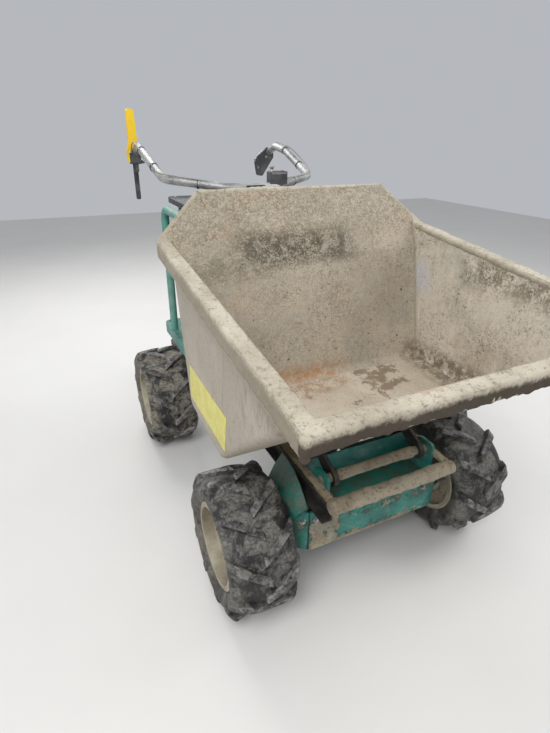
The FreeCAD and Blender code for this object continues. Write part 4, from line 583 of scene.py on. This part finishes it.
# Shapes
class Form:
    """Points and faces of one piece, made from several simple shapes."""

    def __init__(self):
        self.points = []
        self.faces = []

    def grid(self, rows, around=False, along=False):
        """Quads over rows of points; around closes each row, along joins the last row to the first."""
        start, wide, count = len(self.points), len(rows[0]), len(rows)
        for row in rows:
            self.points.extend(row)
        for i in range(count if along else count - 1):
            for j in range(wide if around else wide - 1):
                here, ahead = start + i * wide, start + (i + 1) % count * wide
                self.faces.append((here + j, here + (j + 1) % wide, ahead + (j + 1) % wide, ahead + j))

    def closed(self, rings):
        """Shell over rings of points, with a face across the first and the last."""
        start, wide = len(self.points), len(rings[0])
        last = start + (len(rings) - 1) * wide
        self.grid(rings, around=True)
        self.faces.append(tuple(range(start + wide - 1, start - 1, -1)))
        self.faces.append(tuple(range(last, last + wide)))

    def tube(self, path, radius, sides):
        """Round bar along a line of points."""
        across = (path[1] - path[0]).orthogonal().normalized()
        rings = []
        for i, point in enumerate(path):
            way = (path[min(i + 1, len(path) - 1)] - path[max(i - 1, 0)]).normalized()
            across = (across - way * across.dot(way)).normalized()
            other = way.cross(across)
            rings.append([point + (across * c + other * s) * radius for c, s in circle(sides)])
        self.closed(rings)

    def turned(self, place, way, profile, sides):
        """Solid of revolution. Columns of the profile: distance along the way, radius."""
        way = Vector(way).normalized()
        across = way.orthogonal().normalized()
        other = way.cross(across)
        rings = []
        for distance, radius in profile:
            middle = Vector(place) + way * distance
            rings.append([middle + (across * c + other * s) * radius for c, s in circle(sides)])
        self.closed(rings)

    def bolt(self, place, way, radius, height):
        """Hexagon head on a washer."""
        washer = 1.45 * radius
        top = 0.0016 + height
        self.turned(place, way, ((-0.001, washer), (0.0016, washer)), 20)
        self.turned(place, way, ((0.001, radius), (top - 0.15 * radius, radius), (top, 0.8 * radius)), 6)

    def block(self, low, high, bevel=0.0015):
        """Box between two corners with its edges eased."""
        mesh = bmesh.new()
        bmesh.ops.create_cube(mesh, size=1.0)
        for vertex in mesh.verts:
            vertex.co = Vector((low[k] + (vertex.co[k] + 0.5) * (high[k] - low[k]) for k in range(3)))
        bmesh.ops.bevel(mesh, geom=mesh.edges, offset=bevel, segments=2, affect="EDGES")
        start = len(self.points)
        mesh.verts.index_update()
        self.points.extend(vertex.co.copy() for vertex in mesh.verts)
        self.faces.extend(tuple(start + vertex.index for vertex in face.verts) for face in mesh.faces)
        mesh.free()

    def piece(self, name, body, slot, material, angle, place=None):
        """The form as an object that rides on a body; edges sharper than the angle stay sharp."""
        mesh = bpy.data.meshes.new(name)
        mesh.from_pydata(self.points, [], self.faces)
        mesh.shade_smooth()
        mesh.set_sharp_from_angle(angle=math.radians(angle))
        mesh.materials.append(MATERIALS[material])
        piece = bpy.data.objects.new(name, mesh)
        if place is not None:
            piece.location = place
        bpy.context.scene.collection.objects.link(piece)
        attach(piece, body)
        return piece


def eased_line(corners, step, radius):
    """Points every step along straight runs, with their corners eased."""
    lengths = [(b - a).length for a, b in zip(corners, corners[1:])]
    total = sum(lengths)

    def at(distance):
        for a, b, length in zip(corners, corners[1:], lengths):
            if distance <= length:
                return a.lerp(b, distance / length)
            distance -= length
        return corners[-1].copy()

    count = max(round(total / step), 2)
    points = []
    for i in range(count + 1):
        here = total * i / count
        reach = min(radius, here, total - here)
        samples = [at(here + reach * k / 3) for k in range(-3, 4)]
        points.append(sum(samples, Vector()) / len(samples))
    return points


# Dried cement
def fade_in(index, last, steps=3):
    """Grows from 0 at both ends of a row to 1 over some steps."""
    return min(1.0, min(index, last - index) / steps)


def crust_height(point, seed, low, high):
    """Thickness at a point: broad patches that carry smaller lumps."""
    at = point + Vector((3.1 * seed, -1.7 * seed, 0.9 * seed))
    lumps = 0.5 * noise.noise(at * 13) + 0.35 * noise.noise(at * 37) + 0.3 * noise.noise(at * 95)
    return low + (high - low) * min(max(0.5 + lumps, 0.0), 1.0)


def crust_strip(form, section, start, end, low, high, seed, step=0.004, hang=0.0, swell=None):
    """Crust over an edge: the section's corners, as offsets, swept straight from start to end.

    Its sides and ends dip under the surface. Hang lets the section's first side drip further, and
    swell is a function of the share of the way that thickens it."""
    along = (end - start).normalized()
    line = eased_line(section, step, 0.006)
    last = len(line) - 1
    ways = [(line[min(j + 1, last)] - line[max(j - 1, 0)]).cross(along).normalized() for j in range(last + 1)]
    count = max(round((end - start).length / step), 2)
    rows = []
    for i in range(count + 1):
        share = i / count
        base = start.lerp(end, share)
        row = []
        for j, (offset, way) in enumerate(zip(line, ways)):
            edge = fade_in(j, last)
            fade = fade_in(i, count)
            point = base + offset
            height = crust_height(point, seed, low, high)
            if swell is not None:
                height += swell(share) * (0.6 + 0.4 * noise.noise(point * 60))
            point = point + way * ((height + 0.002) * edge * fade - 0.002)
            if hang:
                drip = max(0.0, noise.noise(Vector((base.x * 42, seed, base.y * 42))) + 0.15)
                point.z -= hang * drip * max(0.0, 1 - j / 6) * edge * fade
            row.append(point)
        rows.append(row)
    form.grid(rows)


def crust_sleeve(form, start, end, radius, low, high, seed, sides=28, step=0.004):
    """Crust around a round bar."""
    along = (end - start).normalized()
    across = along.orthogonal().normalized()
    other = along.cross(across)
    count = round((end - start).length / step)
    rows = []
    for i in range(count + 1):
        fade = fade_in(i, count, 2)
        base = start.lerp(end, i / count)
        row = []
        for c, s in circle(sides):
            way = across * c + other * s
            height = crust_height(base + way * radius, seed, low, high)
            row.append(base + way * (radius - 0.001 + (height + 0.001) * fade))
        rows.append(row)
    form.grid(rows, around=True)


def crust_patch(form, corner, wide, tall, low, high, seed, step=0.003):
    """Crust on an upright face that looks ahead; it breaks up where low is below the face."""
    columns, lines = max(round(wide / step), 2), max(round(tall / step), 2)
    rows = []
    for i in range(lines + 1):
        row = []
        for j in range(columns + 1):
            point = corner + Vector((wide, 0, 0)) * (j / columns) + Vector((0, 0, tall)) * (i / lines)
            edge = min(fade_in(i, lines), fade_in(j, columns))
            height = crust_height(point, seed, low, high)
            row.append(point + Vector((0, -1, 0)) * ((height + 0.002) * edge - 0.002))
        rows.append(row)
    form.grid(rows)


def add_rim_crust():
    """Cement along the tub's side rims, its lip and the lip's corners."""
    form = Form()
    inner = TUB_HALF_WIDTH - TUB_WALL
    for side in (-1, 1):
        # Out of the tub, over the rim and down its outer face.
        corners = ((inner, -0.03), (inner, 0.0), (RIM_HALF, 0.0), (RIM_HALF, -RIM_DROP),
                   (RIM_HALF - TUB_WALL, -RIM_DROP))
        section = [Vector((x * side, 0, z)) for x, z in corners][::-side]
        start, end = Vector((0, RIM_BACK_Y, RIM_BACK_Z)), Vector((0, LIP_Y + 0.004, LIP_Z))
        crust_strip(form, section, start, end, 0.0002, 0.0045, 3 + side, step=0.005)
    corners = ((0.012, -0.041), (0.001, -0.043), (0.0, 0.0), (0.038, 0.004), (0.06, -0.014))
    section = [Vector((0, y, z)) for y, z in corners]
    start, end = (Vector((x, LIP_Y, LIP_Z)) for x in (RIM_HALF, -RIM_HALF))
    crust_strip(form, section, start, end, 0.0002, 0.006, 9, hang=0.017)
    for side in (-1, 1):
        corner = Vector((side * (RIM_HALF - 0.005), LIP_Y + 0.007, LIP_Z + 0.002))
        crust_sleeve(form, corner, corner - Vector((0, 0, 0.062)), 0.007, 0.001, 0.007, 25 + side)
    form.piece("rim_crust", "tub", "tub_plastic", "dried_cement", 80)


def add_back_edge_crust():
    """Cement on the back panel's top edge, thickest right of the middle, and on its cut corners."""
    form = Form()
    top = [Vector((x, BACK_TOP_Y, BACK_TOP_Z)) for x in (-BACK_TOP_HALF, BACK_TOP_HALF)]
    section = [BACK_LEAN * -0.014, Vector(), BACK_INWARD * 0.95 - BACK_LEAN * 0.002,
               BACK_INWARD - BACK_LEAN * 0.02]

    def thick(share):
        return 0.007 * max(0.0, 1 - abs(share - 0.31) / 0.19) ** 0.5

    crust_strip(form, section, top[0], top[1], -0.0004, 0.0022, 14, swell=thick)
    drop = (BACK_TOP_Z - RIM_BACK_Z) / (RIM_HALF - BACK_TOP_HALF)
    reach = RIM_HALF - BACK_TOP_HALF - 0.006
    for side in (-1, 1):
        low_point = Vector((side * (BACK_TOP_HALF + reach), BACK_TOP_Y, BACK_TOP_Z - drop * reach))
        low_point.y -= drop * reach * BACK_SLOPE
        across = Vector((side * drop, 0, 1)).normalized() * -0.014
        across.y = across.z * BACK_SLOPE
        section = [across, Vector(), BACK_INWARD, BACK_INWARD + across * 1.4]
        start, end = (low_point, top[0]) if side < 0 else (top[1], low_point)
        crust_strip(form, section, start, end, 0.0006, 0.0014, 20 + side)
    form.piece("back_edge_crust", "tub", "tub_plastic", "dried_cement", 80)


def add_panel_corners():
    """The back panel's two lower corners, which close the rim's back ends."""
    form = Form()
    outline = ((0.540, 1.3037), (0.5905, 1.2603), (0.5915, 1.2560), (0.5915, 1.2040), (0.540, 1.2040))
    for side in (-1, 1):
        front_face = []
        for x, z in outline:
            y = BACK_TOP_Y - (BACK_TOP_Z - z) * BACK_SLOPE
            front_face.append(Vector((side * x, y, z)) + BACK_INWARD * 0.98)
        back_face = [point - BACK_INWARD * 0.96 for point in front_face]
        form.closed([front_face, back_face][::-side])
    form.piece("panel_corners", "tub", "tub_plastic", "tub_plastic", 30)


def add_floor_lumps():
    """Lumps left on the tub's floor along its left corner and its front."""
    form = Form()
    # Columns: x, place behind the front axle, height of the surface, length, width, thickness.
    lumps = (
        (0.525, 0.175, 0.655, 0.13, 0.05, 0.020), (0.515, 0.075, 0.648, 0.09, 0.055, 0.022),
        (0.53, 0.25, 0.66, 0.08, 0.03, 0.012), (0.46, 0.06, 0.645, 0.06, 0.035, 0.010),
        (0.26, 0.225, 0.657, 0.05, 0.03, 0.006), (-0.50, 0.22, 0.656, 0.14, 0.03, 0.010),
    )
    half_rows, half_columns = 12, 7
    for index, (x, back, z, length, width, thickness) in enumerate(lumps):
        rows = []
        for i in range(-half_rows, half_rows + 1):
            row = []
            for j in range(-half_columns, half_columns + 1):
                across, ahead = j / half_columns, i / half_rows
                point = spot(x + across * width / 2, back + ahead * length / 2, z)
                swell = max(0.0, 1 - across ** 2 - ahead ** 2 + 0.5 * noise.noise(point * 45))
                rough = 0.7 + 0.7 * noise.noise(point * 90 + Vector((index, 0, 0)))
                point.z += thickness * swell * rough - 0.003
                row.append(point)
            rows.append(row)
        form.grid(rows)
    form.piece("floor_lumps", "tub", "tub_plastic", "crusted_steel", 80)


def add_frame_crust():
    """Cement on the cross bar, the pivot shaft, the rails' tops and the bumper."""
    form = Form()
    # Columns: half length, place behind the front axle, height, radius, thickest crust, seed.
    bars = ((0.262, -0.229, 0.505, 0.024, 0.0062, 31), (0.168, -0.12, 0.53, 0.017, 0.006, 35))
    for half, back, z, radius, thickest, seed in bars:
        crust_sleeve(form, spot(-half, back, z), spot(half, back, z), radius, 0.0, thickest, seed)
    for side in (-1, 1):
        corners = ((0.234, -0.012), (0.234, 0.0), (0.264, 0.0), (0.266, -0.001))
        section = [Vector((side * x, 0, z)) for x, z in corners][::side]
        crust_strip(form, section, spot(0, -0.204, RAIL_TOP_Z), spot(0, 0.05, RAIL_TOP_Z), -0.0005, 0.0055,
                    40 + side)
    # Columns: x, z, width, height, thinnest and thickest.
    patches = (
        (-0.272, 0.247, 0.12, 0.115, -0.0075, 0.0055), (-0.16, 0.247, 0.42, 0.03, -0.010, 0.0045),
        (-0.20, 0.33, 0.22, 0.04, -0.011, 0.003), (0.02, 0.325, 0.2, 0.05, -0.012, 0.003),
    )
    for index, (x, z, wide, tall, low, high) in enumerate(patches):
        crust_patch(form, spot(x, BUMPER_BACK, z), wide, tall, low, high, 50 + index)
    edge = [Vector((0, y, z)) for y, z in ((0.009, -0.0005), (0.0, -0.0005), (0.0, 0.016))]
    start, end = (spot(x, BUMPER_BACK, BUMPER_FOOT_Z) for x in (0.245, -0.285))
    crust_strip(form, edge, start, end, -0.002, 0.005, 60, step=0.003, hang=0.009)
    form.piece("frame_crust", "chassis", "crusted_steel", "crusted_steel", 80)


# Wheels
def lug_rows(angle, side):
    """Rows of points over one lug, its top rounded and both ends sloped down into the tread."""
    middle = (LUG_FIRST_X + LUG_LAST_X) / 2
    rows = []
    for x, top, root in LUG_PROFILE:
        run = (x - middle) / (LUG_LAST_X - LUG_FIRST_X) * LUG_SWEEP
        half = LUG_HALF_WIDTH * (1 + 0.18 * (x - LUG_TOE_X) / 0.14) * (1.25 if x > LUG_TOE_X else 0.9)
        row = []
        for share, rise in LUG_SECTION:
            way = run + share * half
            wear = 0.0006 * noise.noise(Vector((x * 60, way * 60, angle * 5)))
            turn = angle + way / LUG_MEAN_RADIUS
            radius = root + (top - root) * rise + wear * rise
            row.append(Vector((side * x, radius * math.sin(turn), radius * math.cos(turn))))
        rows.append(row)
    return rows


def tyre_form(side):
    """Tyre round its own middle: a slightly uneven carcass with a row of lugs on either half."""
    form = Form()
    profile = [(-x, radius) for x, radius in CARCASS] + list(CARCASS[::-1])
    rows = []
    for c, s in circle(TYRE_STEPS):
        row = []
        for x, radius in profile:
            radius += 0.0007 * noise.noise(Vector((x * 50, s * 12, c * 12)))
            row.append(Vector((x, radius * s, radius * c)))
        rows.append(row)
    form.grid(rows, along=True)
    step = 2 * math.pi / LUGS_PER_SIDE
    for i in range(LUGS_PER_SIDE):
        form.grid(lug_rows(-i * step, side))
        form.grid(lug_rows(-(i + 0.5) * step, -side))
    return form


def rim_edges(side):
    """Rolled edges of the rim, and its valve."""
    form = Form()
    for x in (-RIM_HALF_WIDTH + 0.003, RIM_HALF_WIDTH - 0.003):
        rows = []
        for c, s in circle(96):
            row = []
            for bend_c, bend_s in circle(8):
                radius = RIM_FLANGE_RADIUS - 0.001 + 0.0046 * bend_s
                row.append(Vector((0, c, s)) * radius + Vector((x + 0.0042 * bend_c, 0, 0)))
            rows.append(row)
        form.grid(rows, around=True, along=True)
    valve = ((0, 0.005), (0.012, 0.0045), (0.03, 0.003), (0.04, 0.003))
    form.turned((side * -0.074, 0.118, 0), (side, 0, 0), valve, 10)
    return form


def rim_dirt(side, axle_y):
    """Uneven cement in the rim's well."""
    form = Form()
    # Columns: x, radius; the first and last row lie against the rim.
    profile = ((-0.096, 0.1375), (-0.094, 0.130), (-0.093, 0.118), (-0.0925, 0.104), (-0.0918, 0.092),
               (-0.0905, 0.084))
    rows = []
    for c, s in circle(90):
        row = []
        for x, radius in profile:
            point = Vector((0, c, s)) * radius
            at = point + Vector((side * x, axle_y, side * 2))
            lump = 0.006 * (noise.noise(at * 26) + 0.6 * noise.noise(at * 70))
            loose = (x, radius) not in (profile[0], profile[-1])
            row.append(point + Vector((side * (x + lump if loose else x), 0, 0)))
        rows.append(row)
    form.grid(rows, along=True)
    return form


def wheel_nuts(name, side):
    """Nuts round the hub, and the hub's cap."""
    form = Form()
    hub_face = abs(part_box("hub_" + name)[0 if side < 0 else 1][0]) - WHEEL_X
    for c, s in circle(STUDS):
        form.bolt((side * hub_face, STUD_CIRCLE * c, STUD_CIRCLE * s), (side, 0, 0), 0.0085, 0.010)
    cap = ((0, 0.022), (0.010, 0.021), (0.013, 0.017), (0.0135, 0.008))
    form.turned((side * (hub_face - 0.001), 0, 0), (side, 0, 0), cap, 24)
    return form


def add_wheels():
    for word, side in SIDES:
        tyre = tyre_form(side)
        for place, axle_y in AXLES:
            name = place + "_" + word
            rubber = "dusty_rubber" if place == "rear" else "tyre_rubber"
            # Columns: form, first word of its name, slot, material and sharp angle.
            pieces = (
                (tyre, "tread_", "tyre_rubber", rubber, 30),
                (rim_edges(side), "rim_edges_", "rim_paint", "rim_paint", 50),
                (rim_dirt(side, axle_y), "rim_dirt_", "crusted_steel", "crusted_steel", 80),
                (wheel_nuts(name, side), "wheel_nuts_", "bright_steel", "bright_steel", 35),
            )
            middle = Vector((side * WHEEL_X, axle_y, TYRE_RADIUS))
            for form, start, slot, material, angle in pieces:
                piece = form.piece(start + name, "wheel_" + name, slot, material, angle, middle)
                if form is tyre:
                    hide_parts("tyre_" + name)


# Plates
def add_label():
    """Blank yellow plate on the tub's right wall."""
    form = Form()
    face_x = -TUB_HALF_WIDTH - 0.0012
    # Columns: place behind the front axle, height; the back end and the front end of each edge.
    low_edge = [Vector((face_x, *end)) for end in ((0.315, 0.716), (-0.052, 0.706))]
    high_edge = [Vector((face_x, *end)) for end in ((0.301, 0.850), (-0.079, 0.842))]
    columns, lines = 24, 4
    front = []
    for i in range(lines + 1):
        row = []
        for j in range(columns + 1):
            low, high = (a.lerp(b, j / columns) for a, b in (low_edge, high_edge))
            point = low.lerp(high, i / lines)
            point.x -= 0.0008 * noise.noise(point * 20) + 0.0002
            point.y += FRONT_AXLE_Y
            row.append(point)
        front.append(row)
    back = [[Vector((-TUB_HALF_WIDTH - 0.0002, point.y, point.z)) for point in row] for row in front]
    form.grid(front[::-1])
    form.grid(back)
    form.grid([front[0], back[0]])
    form.grid([front[-1][::-1], back[-1][::-1]])
    form.grid([[row[0] for row in rows][::-1] for rows in (front, back)])
    form.grid([[row[-1] for row in rows] for rows in (front, back)])
    form.piece("yellow_label", "tub", "tub_plastic", "yellow_label", 30)


def add_front_plates():
    """Teal plates that close the front frame: a pan between the rails and a plate outside each rail."""
    form = Form()
    form.block(spot(-PAN_HALF, -0.138, PAN_LOW_Z), spot(PAN_HALF, 0.072, PAN_HIGH_Z))
    # The pan beside the lift cylinder, and the slot's folded edge. Columns: inner and outer x, low and high z.
    blocks = ((SLOT_HALF, PAN_HALF, PAN_LOW_Z, PAN_HIGH_Z), (SLOT_HALF, SLOT_HALF + 0.004, 0.3720, 0.4220))
    # Columns: place behind the front axle, lower x and z, upper x and z.
    stations = (
        (-0.128, 0.3360, 0.4150, 0.2860, 0.4240), (-0.10, 0.3375, 0.4150, 0.2840, 0.4450),
        (-0.05, 0.3380, 0.4150, 0.2810, 0.4800), (0.0, 0.3380, 0.4150, 0.2790, 0.5040),
        (0.05, 0.3380, 0.4150, 0.2785, 0.5140), (0.095, 0.3380, 0.4150, 0.2785, 0.5160),
    )
    for side in (-1, 1):
        for inner_x, outer_x, low_z, high_z in blocks:
            low_x, high_x = sorted((side * inner_x, side * outer_x))
            form.block(spot(low_x, 0.07, low_z), spot(high_x, 0.205, high_z))
        bulge, thickness = Vector((side * 0.004, 0, 0.004)), Vector((side * 0.0035, 0, 0.0035))
        rings = []
        for back, low_x, low_z, high_x, high_z in stations:
            low, high = spot(side * low_x, back, low_z), spot(side * high_x, back, high_z)
            middle = low.lerp(high, 0.5) + bulge
            outer = [low, low.lerp(middle, 0.5), middle, middle.lerp(high, 0.5), high]
            inner = [point - thickness for point in outer]
            rings.append((outer + inner[::-1])[::side])
        start, wide = len(form.points), len(rings[0])
        last = start + (len(rings) - 1) * wide
        form.grid(rings, around=True)
        form.faces.append(tuple(range(start, start + wide)))
        form.faces.append(tuple(range(last + wide - 1, last - 1, -1)))
    form.piece("front_plates", "chassis", "teal_paint", "bumper_paint", 35)


# Columns: half length, half width.
LOZENGE = ((0.012, 0), (0.006, 0.003), (-0.006, 0.003), (-0.012, 0), (-0.006, -0.003), (0.006, -0.003))


def add_tread():
    """Raised lozenges on the platform."""
    form = Form()
    low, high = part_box("platform")
    across, ahead = 18, 12
    for i in range(across):
        for j in range(ahead):
            x = -0.250 + 0.500 * i / (across - 1)
            y = low[1] + 0.06 + (high[1] - low[1] - 0.10) * j / (ahead - 1)
            turn = math.radians(45 if (i + j) % 2 else -45)
            way = Vector((math.cos(turn), math.sin(turn), 0))
            other = Vector((-math.sin(turn), math.cos(turn), 0))
            outline = [way * a + other * b for a, b in LOZENGE]
            foot, top = Vector((x, y, high[2] - 0.0005)), Vector((x, y, high[2] + 0.0016))
            form.closed([[foot + point for point in outline], [top + point * 0.7 for point in outline]])
    form.piece("platform_tread", "step", "dark_steel", "dark_steel", 30)


# Handlebar. Every first column is a point whose y is counted from the front axle.
def add_cables():
    """Two cables clipped along the bar, from the controls to the console."""
    # Columns: radius, points beside the bar.
    cables = (
        (0.0032, ((-0.432, 1.690, 1.493), (-0.437, 1.660, 1.535), (-0.434, 1.600, 1.555), (-0.437, 1.500, 1.536),
                  (-0.432, 1.420, 1.508), (-0.424, 1.300, 1.470), (-0.414, 1.180, 1.428), (-0.350, 1.120, 1.418),
                  (-0.240, 1.065, 1.403), (-0.140, 1.020, 1.389), (-0.060, 1.006, 1.386))),
        (0.0030, ((0.418, 1.640, 1.556), (0.436, 1.560, 1.545), (0.440, 1.480, 1.527), (0.434, 1.380, 1.495),
                  (0.420, 1.240, 1.448), (0.398, 1.160, 1.420), (0.300, 1.098, 1.408), (0.170, 1.045, 1.402),
                  (0.150, 1.030, 1.405))),
    )
    form = Form()
    for radius, route in cables:
        form.tube(eased_line([spot(*point) for point in route], 0.012, 0.03), radius, 8)
    form.piece("control_cables", "steering", "black_rubber", "cable_sleeve", 60)
    form = Form()
    for side in (-1, 1):
        # Columns: a clip's place, way of the bar there.
        clips = (
            ((side * 0.415, 1.50, 1.512), (side * -0.02, 1, 0.25)),
            ((side * 0.402, 1.30, 1.445), (side * -0.02, 1, 0.33)),
            ((side * 0.25, 1.085, 1.385), (1, side * 0.3, side * 0.06)),
        )
        for place, way in clips:
            way = Vector(way).normalized()
            profile = ((0, 0.0206), (0.0008, 0.0222), (0.0112, 0.0222), (0.012, 0.0206))
            form.turned(spot(*place) - way * 0.006, way, profile, 24)
    form.piece("cable_clips", "steering", "black_rubber", "black_rubber", 40)


def add_control_fittings():
    """Bellows under the control box; round it a lever pivot, a switch and two cable ends."""
    form = Form()
    folds = [(0.0, 0.009)]
    for i in range(6):
        folds += [(0.003 + i * 0.007, 0.0145), (0.0065 + i * 0.007, 0.0105)]
    # Columns: place, way, profile and sides.
    fittings = (
        ((-0.4125, 1.700, 1.441), (0, 0.05, -1), folds, 20),
        ((-0.447, 1.708, 1.474), (1, 0, 0), ((0, 0.010), (0.002, 0.013), (0.010, 0.013), (0.012, 0.010)), 20),
        ((-0.400, 1.688, 1.497), (0.1, -0.2, 1), ((0, 0.010), (0.014, 0.010), (0.017, 0.007)), 16),
        ((-0.432, 1.692, 1.492), (0, -0.3, 1), ((0, 0.0065), (0.012, 0.006), (0.016, 0.0045)), 12),
        ((-0.386, 1.706, 1.452), (1, -0.2, -0.3), ((0, 0.009), (0.010, 0.009), (0.014, 0.006),
                                              (0.022, 0.005)), 14),
    )
    for place, way, profile, sides in fittings:
        form.turned(spot(*place), way, profile, sides)
    form.piece("control_bellows", "steering", "black_rubber", "dark_plastic", 30)


def add_bar_fastenings():
    """Bolts of the box, the hand guard, the console and the clamp; the console's knob and light strip."""
    form = Form()
    up = (0, 0, 1)
    # Columns: place, way out, radius and height.
    heads = [
        ((-0.385, 1.700, 1.478), (1, 0, 0), 0.006, 0.005),
        ((-0.385, 1.732, 1.455), (1, 0, 0), 0.005, 0.004),
    ]
    for x, z in ((0.330, 1.410), (0.385, 1.470)):
        heads += [((x, 1.706, z), (0, -1, 0), 0.006, 0.004), ((x, 1.712, z), (0, 1, 0), 0.006, 0.004)]
    heads += [((x, 1.0, 1.440), up, 0.005, 0.003) for x in (0.100, 0.150)]
    heads += [((x, 1.005, 1.382), up, 0.007, 0.005) for x in (-0.030, 0.030)]
    for place, way, radius, height in heads:
        form.bolt(spot(*place), way, radius, height)
    knob = ((0, 0.008), (0.006, 0.006), (0.010, 0.006), (0.013, 0.011), (0.020, 0.0115), (0.023, 0.008))
    form.turned(spot(0.094, 1.002, 1.4395), up, knob, 20)
    form.block(spot(0.084, 0.9845, 1.426), spot(0.166, 0.9875, 1.4385), 0.0008)
    form.piece("bar_fastenings", "steering", "bright_steel", "bright_steel", 35)


def add_guard_edge():
    """Folded bright edge along the hand guard's upper side."""
    form = Form()
    route = [spot(x, 1.709, z) for x, z in ((0.3055, 1.443), (0.322, 1.474), (0.372, 1.511), (0.383, 1.521))]
    form.tube(eased_line(route, 0.006, 0.006), 0.0042, 10)
    form.piece("guard_edge", "steering", "bar_paint", "bar_paint", 40)


# Frame and engine
def add_frame_bolts():
    form = Form()
    up, back, ahead = (0, 0, 1), (0, 1, 0), (0, -1, 0)
    # Columns: place, way out, radius and height.
    heads = [
        (spot(-0.317, -0.1485, 0.397), ahead, 0.008, 0.006),
        (spot(-0.262, BUMPER_BACK, 0.388), ahead, 0.009, 0.007),
        (spot(0.226, BUMPER_BACK, 0.357), ahead, 0.007, 0.005),
    ]
    for side in (-1, 1):
        heads += [((side * x, y, DECK_TOP_Z), up, 0.008, 0.006) for x in (0.42, 0.16) for y in (-0.150, 0.530)]
        heads += [((side * 0.375, y, HOOD_TOP_Z), up, 0.007, 0.004) for y in (0.03, 0.40)]
        heads += [((side * PANEL_BOLT_X, PANEL_BACK_Y, z), back, 0.007, 0.005) for z in (0.76, 0.98, 1.22)]
        heads += [((side * 0.2005, 0.60, z), (side, 0, 0), 0.008, 0.006) for z in (0.44, 0.50)]
    for head in heads:
        form.bolt(*head)
    form.piece("frame_bolts", "chassis", "bright_steel", "bright_steel", 35)


def add_starter():
    """Ribs of the starter cover and its hub, on the engine shroud's outer face."""
    form = Form()
    low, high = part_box("engine_shroud")
    centre = Vector((high[0], (low[1] + high[1]) / 2, (low[2] + high[2]) / 2))
    for c, s in circle(14):
        way = Vector((0, c, s))
        start = centre + way * 0.022 + Vector((0.001, 0, 0))
        end = centre + way * 0.056 + Vector((0.0002, 0, 0))
        form.tube([start, start.lerp(end, 0.5), end], 0.0028, 6)
    form.turned(centre - Vector((0.001, 0, 0)), (1, 0, 0), ((0, 0.020), (0.004, 0.019), (0.006, 0.015)), 24)
    form.piece("starter_ribs", "chassis", "dark_plastic", "dark_plastic", 40)


def add_pipes():
    """Two rigid oil pipes from the pump to the hydraulic tank, with a nut at each end."""
    form = Form()
    pump_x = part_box("hydraulic_pump")[0][0] + 0.004
    tank_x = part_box("hydraulic_tank")[1][0] - 0.003
    for y, z in ((0.105, 0.790), (0.150, 0.830)):
        start, end = Vector((pump_x, y, z)), Vector((tank_x, y, z))
        form.tube([start, start.lerp(end, 0.5), end], 0.007, 14)
        form.turned(end, (1, 0, 0), ((0, 0.0125), (0.012, 0.0125), (0.014, 0.010)), 6)
        form.turned(start - Vector((0.014, 0, 0)), (1, 0, 0), ((0, 0.010), (0.002, 0.0125), (0.014, 0.0125)), 6)
    form.piece("oil_pipes", "chassis", "bright_steel", "bright_steel", 35)


MATERIALS = base_materials()
add_camera()
add_stage()
dress_nodes()
add_wheels()
add_rim_crust()
add_back_edge_crust()
add_panel_corners()
add_floor_lumps()
add_frame_crust()
add_label()
add_front_plates()
add_tread()
add_cables()
add_control_fittings()
add_bar_fastenings()
add_guard_edge()
add_frame_bolts()
add_starter()
add_pipes()
